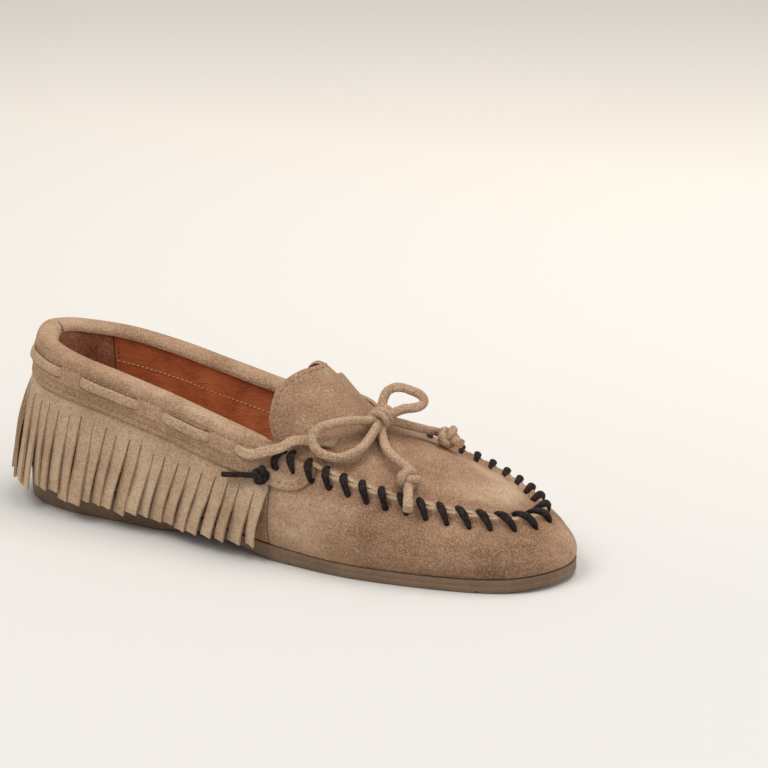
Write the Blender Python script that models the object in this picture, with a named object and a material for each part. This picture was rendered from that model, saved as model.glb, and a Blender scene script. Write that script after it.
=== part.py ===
"""A fringed suede moccasin for the right foot, as its separate pieces.

Run with: blender --background --python part.py

The shoe stands on +Z up, its toe points along +X and its outer (lateral) side faces -Y. Every length below is
in millimetres, measured from the back of the heel, and the meshes are made in metres, centred on the shoe's
own box at the end.

The upper is drawn on one surface, wall(p, w, d):
    p  goes round the shoe: 0 is the back of the heel, 1 the toe tip, between them the lateral side, and
       negative values (or 1 to 2) the medial side
    w  is the distance down the wall from its top edge, which is the topline or the seam with the plug
    d  is the distance out of the suede's outer face, so layers with different d never meet
The plug, the moccasin's top panel with its tongue, is drawn on plug(t, s, d) in the same way.
"""

import math
from functools import lru_cache

import bmesh
import bpy
import numpy as np
from mathutils import Matrix, Vector

TO_METRES = 0.001

# ---------------------------------------------------------------- driving dimensions
SOLE_LENGTH = 260.0
GAP = 0.3

# The outline of the sole, from the toe tip round the lateral side to the heel, and back along the medial side.
TOE_TIP = (SOLE_LENGTH, -2.5)
HEEL_BACK = (0.0, -2.8)
LATERAL_EDGE = [(258, -12), (252.5, -21.8), (242, -30.2), (225, -36.2), (200, -40.9), (175, -43.1), (148, -41.0),
                (120, -36.5), (90, -31.9), (60, -30.2), (35, -29.0), (15, -23.5), (4, -13.6)]
MEDIAL_EDGE = [(4, 8.6), (15, 20.0), (35, 27.0), (60, 26.9), (85, 23.4), (108, 20.9), (130, 23.8),
               (152, 31.6), (175, 39.0), (200, 41.2), (222, 36.6), (242, 25.3), (252.5, 14.6), (258, 6)]

# Tables over t, the share of the way along one side from the heel (0) to the toe tip (1).
TOP_HEIGHT = [(0, 75.5), (.05, 74.3), (.1, 71.8), (.18, 68), (.265, 63.3), (.37, 56.8), (.475, 49.8),
              (.52, 46.5), (.575, 41.8), (.67, 36.0), (.757, 31.4), (.837, 28.3), (.905, 26.8), (1, 25.6)]
TOP_INSET_LATERAL = [(0, 12), (.05, 9.5), (.1, 6.8), (.2, 4.0), (.37, 3.0), (.475, 5.0), (.575, 8.6), (.67, 9.8),
                     (.757, 10.3), (.837, 11.6), (.905, 13.3), (1, 15.0)]
TOP_INSET_MEDIAL = [(0, 12), (.05, 9.5), (.1, 6.5), (.2, 3.0), (.3, -0.5), (.4, -4.5), (.475, -6.5), (.53, -5.5),
                    (.6, 1.4), (.67, 7.8), (.757, 12.8), (.837, 14.2), (.905, 14.4), (1, 15.0)]
TOP_LEAN = [(0, 13), (.08, 10), (.2, 6), (.45, 12), (.52, 22), (.575, 30), (.67, 41), (.757, 50), (.837, 56), (.905, 60), (1, 62)]
BASE_FLARE = [(0, 14), (.3, 12), (.5, 22), (.7, 30), (1, 34)]
BASE_INSET = 0.8

# The plug: it runs from TONGUE_T to PLUG_END_T along the two sides and then round the toe. Over the share of its
# length, how far its middle stands above and ahead of its two edges.
TONGUE_T = 0.502
PLUG_SEWN_T = 0.545
PLUG_END_T = 0.9
PLUG_RISE = [(0, 30.9), (.05, 29.4), (.1, 27), (.14, 24.2), (.19, 20), (.25, 16.6), (.3, 14.3), (.42, 10.8),
             (.55, 9.5), (.64, 8.6), (.75, 7.2), (.87, 4.2), (1, 0)]
PLUG_SHIFT = [(0, 5), (.08, 5), (.19, 3), (.29, 1.5), (.42, .5), (.55, 0), (1, 0)]
CROWN_POWER = 1.7
TONGUE_ROUNDER = 0.7
TONGUE_INSIDE = 7.6
TONGUE_BELOW = 1.0
TONGUE_EDGE = [(0, 9.8), (.06, 9.6), (.14, 8.3), (.28, 4.2), (.42, .2), (.61, -4.4), (.8, -4.8), (1, -1)]  # forward, over |2s-1|
EDGE_SLOPE = 26  # of the plug beside its seam, in degrees
LIP = 2.0
LIP_WIDTH = 1.3
LIP_FROM = 0.2

# The outsole: heights along x.
SOLE_TOP = [(0, 13.5), (50, 13.5), (80, 12.6), (120, 8.6), (150, 6.4), (175, 5.6), (215, 5.5), (240, 6.0), (258, 6.9)]
SOLE_UNDER = [(0, 0), (78, 0), (92, 2.6), (106, 4.2), (120, 3.4), (136, 0.9), (148, 0), (222, 0), (240, .4), (258, 1.5)]
SOLE_EDGE_ROUND = 1.0
GROOVES_X = (30.0, 150.0, 231.0)
GROOVE_WIDTH = 1.3
GROOVE_DEPTH = 0.9
PIN_HOLE_RADIUS = 1.0
PIN_HOLE_DEPTH = 1.6
HEEL_PIN_HOLES_X = (46, 54, 62)
HEEL_PIN_HOLES_Y = (-19, 15)
TOE_PIN_HOLES = [(239, -12), (240, 1), (239, 14)]

# Thicknesses and places of the layers.
SUEDE = 1.4
LINING_OUT, LINING_IN = -3.2, -4.2
COUNTER_OUT, COUNTER_IN = -1.8, -2.8
LASTING_MARGIN = 9.0
BOARD = 2.0
SOCK = 1.2
FILLER = 1.1
SEAM_T = 0.525
GRIP_T = 0.14
COLLAR_DROP = [(0, 16), (.1, 16.5), (.2, 15.5), (.45, 14.5), (.53, 13.5), (.6, 13.5)]
COLLAR_THICK = 4.3
COLLAR_FRONT_T = 0.49
TAB_START_T = 0.53
TAB_END_T = 0.588
TAB_THICK = 1.7

FRINGE_THICK = 1.2
FRINGE_END_T = 0.526
FRINGE_TUCK = 4.8
FRINGE_BAND = 6.5
FRINGE_HEM_Z = [(0, 12), (.07, 10), (.2, 9.0), (.32, 6.5), (.45, 7), (.54, 8)]
FRINGE_FLARE = [(0, 6.0), (.1, 6.2), (.25, 6.0), (.54, 5.0)]
STRANDS_PER_SIDE = 24
STRAND_GAP = 0.9

LACE_HALF_WIDTH = 2.2
LACE_HALF_THICK = 1.0
LACE_W = 6.3
LACE_HIDDEN_D = 2.3
LACE_SHOWN_D = 5.0
LACE_SHOWN = [(.057, .150), (.197, .290), (.342, .418)]
LACE_EXIT_T = 0.472
LACE_DIVE = 0.016
EYELET = (0.223, 0.16)
CORD_RADIUS = 1.9

STITCHES = 28
STITCH_START_T = 0.537
THONG_RADIUS = 1.3
STITCH_OUT = 3.7
STITCH_HALF_WIDTH = 5.0
STITCH_CENTRE_W = 1.3

MATERIALS = {  # colour, roughness
    "suede": ((0.42, 0.29, 0.185), 0.95),
    "lining": ((0.42, 0.13, 0.045), 0.5),
    "grip": ((0.17, 0.085, 0.05), 0.9),
    "thong": ((0.02, 0.016, 0.015), 0.6),
    "rubber": ((0.16, 0.105, 0.075), 0.55),
    "board": ((0.45, 0.36, 0.26), 0.9),
    "stiffener": ((0.6, 0.55, 0.45), 0.8),
}


# ---------------------------------------------------------------- curves and tables
def catmull_rom(points, closed, steps):
    """A smooth curve through the points, as a dense polyline."""
    pts = np.array(points, float)
    if closed:
        around = np.vstack([pts[-1], pts, pts[:2]])
    else:
        around = np.vstack([2 * pts[0] - pts[1], pts, 2 * pts[-1] - pts[-2]])
    t = np.linspace(0, 1, steps, endpoint=False)[:, None]
    spans = []
    for a, b, c, d in zip(around, around[1:], around[2:], around[3:]):
        spans.append(0.5 * (2 * b + (c - a) * t + (2 * a - 5 * b + 4 * c - d) * t ** 2
                            + (3 * b - a - 3 * c + d) * t ** 3))
    curve = np.vstack(spans)
    return curve if closed else np.vstack([curve, pts[-1]])


def lengths_along(line):
    return np.concatenate([[0], np.cumsum(np.linalg.norm(np.diff(line, axis=0), axis=1))])


@lru_cache(maxsize=None)
def table_slopes(table):
    x, y = np.array(table, float).T
    rates = np.diff(y) / np.diff(x)
    slope = np.zeros(len(x))
    for i in range(1, len(x) - 1):
        before, after = rates[i - 1], rates[i]
        if before * after > 0:
            slope[i] = 2 * before * after / (before + after)
    return x, y, slope


def read(table, t):
    """The table's value at t, on a smooth curve that never goes past the listed values."""
    x, y, slope = table_slopes(tuple(table))
    t = min(max(t, x[0]), x[-1])
    i = min(int(np.searchsorted(x, t, side="right")) - 1, len(x) - 2)
    h = x[i + 1] - x[i]
    k = (t - x[i]) / h
    return float((1 + 2 * k) * (1 - k) ** 2 * y[i] + k * (1 - k) ** 2 * h * slope[i]
                 + k * k * (3 - 2 * k) * y[i + 1] + k * k * (k - 1) * h * slope[i + 1])


def smoothstep(low, high, x):
    k = min(max((x - low) / (high - low), 0.0), 1.0)
    return k * k * (3 - 2 * k)


# Where the wall's panels have their corners, as shares of the way from heel to toe. Every layer uses these, so
# that layers a fraction of a millimetre apart never cut into one another.
STATIONS = [0, .012, .026, .042, .06, .082, .11, .15, .2, .25, .29, .32, .35, .38, .41, .44, .465, .482, .498, .51,
            .53, .56, .59, .63, .68, .73, .77, .81, .845, .88, .91, .94, .97, 1]
LEVELS = [0, .14, .3, .46, .62, .77, .9, 1]

OUTLINE = catmull_rom([TOE_TIP] + LATERAL_EDGE + [HEEL_BACK] + MEDIAL_EDGE, closed=True, steps=24)
HEEL_INDEX = 24 * (len(LATERAL_EDGE) + 1)
LATERAL = OUTLINE[HEEL_INDEX::-1]
MEDIAL = np.vstack([OUTLINE[HEEL_INDEX:], OUTLINE[:1]])


def side_of(p):
    """(is it the lateral side, share of the way from heel to toe)."""
    q = (p + 1) % 2 - 1
    return q >= 0, abs(q)


def outline(p):
    """A point of the sole's outline."""
    lateral, t = side_of(p)
    line = LATERAL if lateral else MEDIAL
    along = lengths_along(line)
    at = t * along[-1]
    return np.array([np.interp(at, along, line[:, 0]), np.interp(at, along, line[:, 1])])


@lru_cache(maxsize=None)
def outward(p):
    """The horizontal direction out of the shoe there, evened out round the toe."""
    step = 0.006 + 0.04 * smoothstep(.75, .92, side_of(p)[1])
    a, b = outline(p - step), outline(p + step)
    along = (b - a) / np.linalg.norm(b - a)
    return np.array([along[1], -along[0]])


def base_height(p):
    return read(SOLE_TOP, float(outline(p)[0])) + GAP


# ---------------------------------------------------------------- the upper's surface
@lru_cache(maxsize=None)
def profile(p):
    """The wall's cross-section there: (distance out, height) from its top edge to its base, and lengths along it."""
    lateral, t = side_of(p)
    inset = read(TOP_INSET_LATERAL if lateral else TOP_INSET_MEDIAL, t)
    top, base = read(TOP_HEIGHT, t), base_height(p)
    lean, flare = math.radians(read(TOP_LEAN, t)), math.radians(read(BASE_FLARE, t))
    height = top - base
    lower, upper = 0.38 * height, (0.3 + 0.16 * smoothstep(.5, .75, t)) * height
    handles = np.array([
        (-inset, top),
        (-inset + upper * math.sin(lean), top - upper * math.cos(lean)),
        (-BASE_INSET + lower * math.sin(flare), base + lower * math.cos(flare)),
        (-BASE_INSET, base),
    ])
    k = np.linspace(0, 1, 41)[:, None]
    line = ((1 - k) ** 3 * handles[0] + 3 * (1 - k) ** 2 * k * handles[1]
            + 3 * (1 - k) * k * k * handles[2] + k ** 3 * handles[3])
    return line, lengths_along(line)


def wall_length(p):
    return float(profile(p)[1][-1])


def at_length(line, along, w, sewn=0.0):
    """A point of a polyline, run on straight past its ends. Where it is sewn, w < 0 follows the plug instead."""
    if w < 0:
        up = (line[1] - line[0]) / (along[1] - along[0])
        slope = math.radians(EDGE_SLOPE)
        return line[0] + w * (up * (1 - sewn) + np.array([math.cos(slope), -math.sin(slope)]) * sewn)
    if w > along[-1]:
        return line[-1] + (line[-1] - line[-2]) / (along[-1] - along[-2]) * (w - along[-1])
    return np.array([np.interp(w, along, line[:, 0]), np.interp(w, along, line[:, 1])])


def wall_frame(p, w):
    """(point of the suede's outer face, outward normal, direction down the wall)."""
    p, w = round(float(p), 6), float(w)
    line, along = profile(p)
    sewn = smoothstep(TAB_START_T, TAB_START_T + .03, side_of(p)[1])
    here = at_length(line, along, w, sewn)
    down = at_length(line, along, w + 0.4, sewn) - at_length(line, along, w - 0.4, sewn)
    down /= np.linalg.norm(down)
    x, y = outline(p)
    nx, ny = outward(p)
    point = np.array([x + nx * here[0], y + ny * here[0], here[1]])
    normal = np.array([-nx * down[1], -ny * down[1], down[0]])
    return point, normal, np.array([nx * down[0], ny * down[0], down[1]])


def wall(p, w, d):
    point, normal, _ = wall_frame(p, w)
    return point + normal * d


def plug_side(p):
    """The plug's edge: on the seam, and behind it the tongue's edge, hanging free inside the topline."""
    free = smoothstep(PLUG_SEWN_T, PLUG_SEWN_T - .018, side_of(p)[1])
    return wall(p, TONGUE_BELOW * free, -TONGUE_INSIDE * free)


def plug_middle(u, s):
    """The plug's outer face: u runs from the tongue's free edge (0) to the toe seam (1), s across from the
    lateral seam (0) to the medial (1). Its three sewn edges lie on the wall's top edge."""
    t = TONGUE_T + (PLUG_END_T - TONGUE_T) * u
    left, right = plug_side(t), plug_side(-t)
    straight = left + (right - left) * s
    end_left, end_right = wall(PLUG_END_T, 0, 0), wall(-PLUG_END_T, 0, 0)
    toe = wall(PLUG_END_T + (2 - 2 * PLUG_END_T) * s, 0, 0) - (end_left + (end_right - end_left) * s)
    side = abs(2 * s - 1)
    free = 1 - smoothstep(0, .19, u)
    crown = 1 - side ** (CROWN_POWER + TONGUE_ROUNDER * free)
    forward = free * read(TONGUE_EDGE, side) + (1 - free) * crown * read(PLUG_SHIFT, u)
    return straight + toe * u ** 3 + np.array([forward, 0, crown * read(PLUG_RISE, u)])


def plug(u, s, d):
    """A point d out of the plug's face."""
    step = 0.004
    across = plug_middle(u, min(s + step, 1)) - plug_middle(u, max(s - step, 0))
    forward = plug_middle(min(u + step, 1), s) - plug_middle(max(u - step, 0), s)
    normal = np.cross(forward, across)
    normal /= np.linalg.norm(normal)
    side_share = 1 - smoothstep(0, 0.15, min(s, 1 - s))
    toe_share = 1 - smoothstep(0, 0.15, 1 - u)
    t = TONGUE_T + (PLUG_END_T - TONGUE_T) * u
    side_edge = wall_frame(t if s < 0.5 else -t, 0)[1]
    toe_edge = wall_frame(PLUG_END_T + (2 - 2 * PLUG_END_T) * s, 0)[1]
    total = normal * (1 - max(side_share, toe_share))
    total = total + side_edge * side_share * (1 - toe_share) + toe_edge * toe_share
    return plug_middle(u, s) + total / np.linalg.norm(total) * d


# ---------------------------------------------------------------- meshes
def make_object(name, verts, faces, material, smooth_angle=40):
    mesh = bpy.data.meshes.new(name)
    mesh.from_pydata([tuple(float(c) * TO_METRES for c in v) for v in verts], [], [tuple(f) for f in faces])
    bm = bmesh.new()
    bm.from_mesh(mesh)
    bmesh.ops.remove_doubles(bm, verts=bm.verts, dist=2e-6)
    bmesh.ops.dissolve_degenerate(bm, edges=bm.edges, dist=1e-6)
    bmesh.ops.recalc_face_normals(bm, faces=bm.faces)
    bm.to_mesh(mesh)
    bm.free()
    mesh.shade_smooth()
    mesh.set_sharp_from_angle(angle=math.radians(smooth_angle))
    obj = bpy.data.objects.new(name, mesh)
    bpy.context.scene.collection.objects.link(obj)
    obj.data.materials.append(material_named(material))
    return obj


def material_named(name):
    if name in bpy.data.materials:
        return bpy.data.materials[name]
    material = bpy.data.materials.new(name)
    material.use_nodes = True
    shader = material.node_tree.nodes["Principled BSDF"]
    colour, roughness = MATERIALS[name]
    shader.inputs["Base Color"].default_value = (*colour, 1)
    shader.inputs["Roughness"].default_value = roughness
    shader.inputs["Metallic"].default_value = 0.0
    return material


def sheet_solid(name, outer, inner, material, cells=None):
    """A solid between two grids of points. cells says which squares of the grid it fills."""
    outer, inner = np.array(outer), np.array(inner)
    rows, cols = outer.shape[:2]
    cells = np.ones((rows - 1, cols - 1), bool) if cells is None else np.array(cells, bool)
    verts = np.vstack([outer.reshape(-1, 3), inner.reshape(-1, 3)])
    under = rows * cols
    faces = []

    def filled(r, c):
        return 0 <= r < rows - 1 and 0 <= c < cols - 1 and cells[r, c]

    for r in range(rows - 1):
        for c in range(cols - 1):
            if not cells[r, c]:
                continue
            a, b = r * cols + c, r * cols + c + 1
            e, f = a + cols, b + cols
            faces += [(a, b, f, e), (a + under, e + under, f + under, b + under)]
            for (dr, dc), (i, j) in (((-1, 0), (a, b)), ((1, 0), (f, e)), ((0, -1), (e, a)), ((0, 1), (b, f))):
                if not filled(r + dr, c + dc):
                    faces.append((i, i + under, j + under, j))
    used = sorted({i for face in faces for i in face})
    index = {old: new for new, old in enumerate(used)}
    return make_object(name, verts[used], [[index[i] for i in face] for face in faces], material)


def swept(name, sections, material):
    """A solid skinned over a row of cross-sections with the same number of points."""
    sections = np.array(sections)
    count, size = sections.shape[:2]
    verts = sections.reshape(-1, 3)
    faces = [list(range(size))[::-1], list(range((count - 1) * size, count * size))]
    for i in range(count - 1):
        for j in range(size):
            k = (j + 1) % size
            faces.append([i * size + j, i * size + k, (i + 1) * size + k, (i + 1) * size + j])
    return make_object(name, verts, faces, material)


def tube_sections(path, up, half_width, half_thick, sides):
    """Oval rings along a path. up is the direction of the oval's thin axis at each point."""
    path = np.array(path, float)
    rings = []
    for i, point in enumerate(path):
        along = path[min(i + 1, len(path) - 1)] - path[max(i - 1, 0)]
        along /= np.linalg.norm(along)
        normal = up[i] - along * np.dot(up[i], along)
        normal /= np.linalg.norm(normal)
        across = np.cross(along, normal)
        ring = []
        for k in range(sides):
            a = 2 * math.pi * (k + 0.5) / sides
            ring.append(point + across * half_width * math.cos(a) + normal * half_thick * math.sin(a))
        rings.append(ring)
    return rings


def evenly(path, spacing):
    """The path again, with points about that far apart."""
    path = np.array(path, float)
    along = lengths_along(path)
    at = np.linspace(0, along[-1], max(2, round(along[-1] / spacing) + 1))
    return np.stack([np.interp(at, along, path[:, k]) for k in range(3)], axis=1)


def cord(name, points, radius, material, spacing=4.0, sides=8):
    """A round cord through the points, as a poly curve with a bevel and filled caps."""
    route = evenly(catmull_rom(points, closed=False, steps=12), spacing)
    curve = bpy.data.curves.new(name, "CURVE")
    curve.dimensions = "3D"
    curve.bevel_depth = radius * TO_METRES
    curve.bevel_resolution = sides // 4
    curve.use_fill_caps = True
    spline = curve.splines.new("POLY")
    spline.points.add(len(route) - 1)
    for point, place in zip(spline.points, route):
        point.co = (*(place * TO_METRES), 1)
    obj = bpy.data.objects.new(name, curve)
    bpy.context.scene.collection.objects.link(obj)
    curve.materials.append(material_named(material))
    return obj


def turned(name, start, direction, profile_points, material, sides=10):
    """A solid of revolution. profile_points are (distance along the direction, radius)."""
    axis = np.array(direction, float)
    axis /= np.linalg.norm(axis)
    side = np.cross(axis, (0, 0, 1))
    side /= np.linalg.norm(side)
    other = np.cross(axis, side)
    rings = []
    for along, radius in profile_points:
        rings.append([np.array(start) + axis * along
                      + radius * (side * math.cos(2 * math.pi * k / sides) + other * math.sin(2 * math.pi * k / sides))
                      for k in range(sides)])
    return swept(name, rings, material=material)


def cut(obj, cutter):
    modifier = obj.modifiers.new("cut_" + cutter.name, "BOOLEAN")
    modifier.operation = "DIFFERENCE"
    modifier.solver = "EXACT"
    modifier.object = cutter


def hide_cutter(obj):
    obj.hide_render = True
    obj.display_type = "WIRE"
    return obj


# ---------------------------------------------------------------- the sole and what lies on it
def footbed_grid(inset, height, stations, shares):
    """Rows across the shoe, from the heel to the toe, on the outline moved in by inset."""
    rows = []
    for t in stations:
        left = outline(t) - outward(round(float(t), 6)) * inset
        right = outline(-t) - outward(round(float(-t), 6)) * inset
        rows.append([(*(left + (right - left) * s), height(float((left + (right - left) * s)[0]))) for s in shares])
    return rows


def make_outsole():
    stations = np.concatenate([[0, .015, .04], np.linspace(.08, .92, 29), [.96, .985, 1]])
    shares = [0, .5, 1]
    top = footbed_grid(0, lambda x: read(SOLE_TOP, x), stations, shares)
    rim = footbed_grid(0, lambda x: read(SOLE_UNDER, x) + SOLE_EDGE_ROUND, stations, shares)
    under = footbed_grid(SOLE_EDGE_ROUND, lambda x: read(SOLE_UNDER, x), stations, shares)
    rings = [ring_of(grid) for grid in (top, rim, under)]
    verts = np.vstack([np.array(top).reshape(-1, 3), np.array(under).reshape(-1, 3)] + rings)
    cols, count, size = len(shares), len(stations), len(rings[0])
    faces = []
    for offset, flip in ((0, False), (count * cols, True)):
        for r in range(count - 1):
            for c in range(cols - 1):
                a = offset + r * cols + c
                quad = (a, a + 1, a + cols + 1, a + cols)
                faces.append(quad[::-1] if flip else quad)
    start = 2 * count * cols
    for k in range(2):
        for i in range(size):
            j = (i + 1) % size
            faces.append((start + k * size + i, start + k * size + j,
                          start + (k + 1) * size + j, start + (k + 1) * size + i))
    sole = make_object("outsole", verts, faces, "rubber")
    for i, x in enumerate(GROOVES_X):
        lift = read(SOLE_UNDER, x) + GROOVE_DEPTH
        cut(sole, hide_cutter(box_cutter(f"groove_{i}", x, GROOVE_WIDTH, lift)))
    holes = [(x, y) for x in HEEL_PIN_HOLES_X for y in HEEL_PIN_HOLES_Y] + TOE_PIN_HOLES
    for i, (x, y) in enumerate(holes):
        deep = read(SOLE_UNDER, x) + PIN_HOLE_DEPTH
        cut(sole, hide_cutter(turned(f"pin_hole_{i}", (x, y, -4), (0.001, 0, 1),
                                     [(0, PIN_HOLE_RADIUS), (4 + deep, PIN_HOLE_RADIUS)], "rubber", sides=8)))


def ring_of(grid):
    """The closed edge of a footbed grid: up the lateral side, back down the medial."""
    grid = np.array(grid)
    return np.vstack([grid[:, 0], grid[-2:0:-1, -1]])


def box_cutter(name, x, width, top):
    verts = [(x + sx * width / 2, sy * 70, top if up else -5) for up in (0, 1) for sy in (-1, 1) for sx in (-1, 1)]
    faces = [(0, 1, 3, 2), (4, 6, 7, 5), (0, 4, 5, 1), (1, 5, 7, 3), (3, 7, 6, 2), (2, 6, 4, 0)]
    return make_object(name, verts, faces, "rubber")


def make_layer(name, inset, low, thick, t0, t1, material):
    """A flat layer of the footbed, low above the sole's top."""
    stations = np.linspace(t0, t1, 22)
    shares = [0, .5, 1]
    bottom = footbed_grid(inset, lambda x: read(SOLE_TOP, x) + low, stations, shares)
    top = footbed_grid(inset, lambda x: read(SOLE_TOP, x) + low + thick, stations, shares)
    sheet_solid(name, top, bottom, material)


def make_footbed():
    low = 2 * GAP + SUEDE + .1
    make_layer("bottom_filler", LASTING_MARGIN + 3.5, GAP, FILLER, .04, .96, "stiffener")
    make_layer("insole_board", 4.6, low, BOARD, 0, 1, "board")
    make_layer("sock_lining", 6.2, low + BOARD + GAP, SOCK, 0, 1, "lining")


# ---------------------------------------------------------------- the upper
def panel(name, places, depths, outs, ins, material, margin=0.0):
    """A wall panel. depths, outs and ins give w and the two values of d row by row, as functions of p."""
    outer, inner = [], []
    for depth, out, into in zip(depths, outs, ins):
        outer.append([wall(p, depth(p), out(p)) for p in places])
        inner.append([wall(p, depth(p), into(p)) for p in places])
    if margin:
        outer[-1], inner[-1] = base_ring(places, 0.0, 0.0), base_ring(places, SUEDE, SUEDE)
        outer.append(base_ring(places, margin, 0.0))
        inner.append(base_ring(places, margin, SUEDE))
    sheet_solid(name, outer, inner, material)


def base_ring(places, inset, lift):
    """Points of the lasting margin, the suede turned in under the foot."""
    ring = []
    for p in places:
        x, y = outline(p) - outward(round(float(p), 6)) * (BASE_INSET + inset)
        ring.append((x, y, read(SOLE_TOP, x) + GAP + lift))
    return ring


def around(start, end):
    """The stations from start to end round the shoe, with the two ends themselves."""
    every = [s for s in STATIONS if s > 0] + [2 - s for s in STATIONS[-2:0:-1]]
    every = sorted([0.0] + every + [-s for s in every])
    low, high = min(start, end), max(start, end)
    inside = [p for p in every if low + .004 < p < high - .004]
    return [low] + inside + [high]


def constant(value):
    return lambda p: value


def down_by(share, top=0.0, bottom=0.0):
    """A depth that is a share of the way from top to the wall's base, less bottom."""
    return lambda p: top + (wall_length(round(float(p), 6)) - bottom - top) * share


def make_upper():
    suede_in = [constant(-SUEDE)] * 9
    vamp_places = around(SEAM_T, 2 - SEAM_T)

    def lip_out(p):
        return LIP * smoothstep(TAB_END_T + .002, TAB_END_T + .02, side_of(p)[1])

    depths = [constant(0.2), constant(1.5), constant(1.9)] + [down_by(s, top=1.9) for s in (.2, .42, .65, .85, 1)]
    outs = [lip_out, lip_out] + [constant(0.0)] * 6
    vamp = panel_object("vamp", vamp_places, depths, outs, suede_in[:8], "suede", LASTING_MARGIN)
    edge = 0.0022
    for side, name in ((1, "quarter_lateral"), (-1, "quarter_medial")):
        places = around(.0012 * side, (SEAM_T - edge) * side)
        depths = [down_by(s) for s in LEVELS]
        panel(name, places, depths, [constant(0.0)] * 8, suede_in[:8], "suede", LASTING_MARGIN)
    panel("heel_counter", around(-.2, .2), [down_by(s, top=7, bottom=4) for s in (0, .25, .5, .75, 1)],
          [constant(COUNTER_OUT)] * 5, [constant(COUNTER_IN)] * 5, "stiffener")
    lining_drop = 5.6

    def lining(name, start, end, top, material):
        panel(name, around(start, end), [down_by(s, top=top, bottom=lining_drop) for s in (0, .25, .5, .75, 1)],
              [constant(LINING_OUT)] * 5, [constant(LINING_IN)] * 5, material)

    lining("heel_grip_lining", -GRIP_T, GRIP_T, 0.3, "grip")
    for side, name in ((1, "quarter_lining_lateral"), (-1, "quarter_lining_medial")):
        lining(name, (GRIP_T + edge) * side, (SEAM_T - edge) * side, 0.3, "lining")
    lining("vamp_lining", SEAM_T, 2 - SEAM_T, 8.5, "lining")
    return vamp


def panel_object(name, *rest):
    panel(name, *rest[:-1], margin=rest[-1])
    return bpy.data.objects[name]


def make_plug():
    lengths = [0, .02, .05, .09, .135, .19, .25, .32, .4, .48, .56, .64, .72, .8, .88]
    shares = [.08, .17, .28, .39, .5, .61, .72, .83, .92]
    rows, cols = len(lengths) + 4, len(shares) + 6
    toe_run = np.linalg.norm(plug_middle(1, .5) - plug_middle(.9, .5)) / .1

    def place(r, c):
        """u and s of a corner: the outermost are a hair inside the seam, the next two bound its raised lip."""
        margins = (0.25, 0.25 + LIP_WIDTH, 0.65 + LIP_WIDTH)
        u = lengths[r] if r < len(lengths) else 1 - ((margins + (5.0,))[::-1])[r - len(lengths)] / toe_run
        width = np.linalg.norm(plug_middle(min(u, .97), 0) - plug_middle(min(u, .97), 1))
        if c < 3:
            return u, margins[c] / width
        if c >= cols - 3:
            return u, 1 - margins[cols - 1 - c] / width
        return u, shares[c - 3]

    def grid(raised):
        points = []
        for r in range(rows):
            row = []
            for c in range(cols):
                on_lip = (c < 2 or c >= cols - 2) and lengths[min(r, len(lengths) - 1)] > LIP_FROM or r >= rows - 2
                d = -SUEDE if not raised else LIP if on_lip else 0.0
                row.append(plug(*place(r, c), d))
            points.append(row)
        return points

    sheet_solid("plug", grid(True), grid(False), "suede")
    lining_rows, lining_shares = lengths[1:7], shares[1:-1]
    sheet_solid("tongue_lining", [[plug(u, s, -SUEDE - GAP) for s in lining_shares] for u in lining_rows],
                [[plug(u, s, -SUEDE - GAP - 0.9) for s in lining_shares] for u in lining_rows], "lining")
    return bpy.data.objects["plug"]


def collar_section(p):
    """The collar's cross-section: it folds over the topline, and in front becomes a flat tab on the vamp."""
    t = side_of(p)[1]
    drop = read(COLLAR_DROP, t)
    end = (t - TAB_START_T) / (TAB_END_T - TAB_START_T)
    if end > 0:
        drop = 1.2 + (drop - 1.2) * math.sqrt(max(1 - min(end, 1) ** 2, 0.0))
    leg = 1 - .96 * smoothstep(.455, .492, t)
    over = 1 - smoothstep(.492, .513, t)
    above = 1 - smoothstep(.513, TAB_START_T, t)
    thick = TAB_THICK + (COLLAR_THICK - TAB_THICK) * (1 - smoothstep(COLLAR_FRONT_T - .03, TAB_START_T, t))
    hem = min(thick, 3.2)
    step = 0.3 + 1.7 * smoothstep(TAB_START_T + .016, TAB_START_T + .004, t)
    folded = [(thick - .35, -.9), (thick - 1.5, -2.3), (-.6, -3.1), (-3.4, -2.6), (-5.1, -1.4),
              (-5.8, -.3 + .6 * leg), (-5.8, -.3 + 2.0 * leg), (-4.5, -.3 + 2.0 * leg), (-4.5, -.3)]
    top = []
    for i, (d, w) in enumerate(folded):
        flat = TAB_THICK + (0.3 - TAB_THICK) * (i + 1) / 10
        top.append((d * over + flat * (1 - over), w * above + 0.2 * (1 - above)))
    upper = 0.2 - 0.5 * above
    tuck = max(drop - 5.6, drop * 0.55)
    return ([(step, drop), (hem, drop), (hem, max(drop - 4, drop * .7)), (thick, tuck), (thick, min(1.5, drop * .4))]
            + top + [(0.3, upper), (0.3, .5 * tuck), (0.3, tuck), (step, tuck + .15)])


def make_collar():
    ends = 1 - np.array([0, .012, .05, .12, .22, .36, .52, .7, .87])
    tab = TAB_START_T + (TAB_END_T - TAB_START_T) * ends[::-1]
    half = np.concatenate([[s for s in STATIONS if s < TAB_START_T], tab])
    places = np.concatenate([-half[:0:-1], half])
    sections = [[wall(p, w, d) for d, w in collar_section(p)] for p in places]
    return swept("collar", sections, material="suede")


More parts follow.
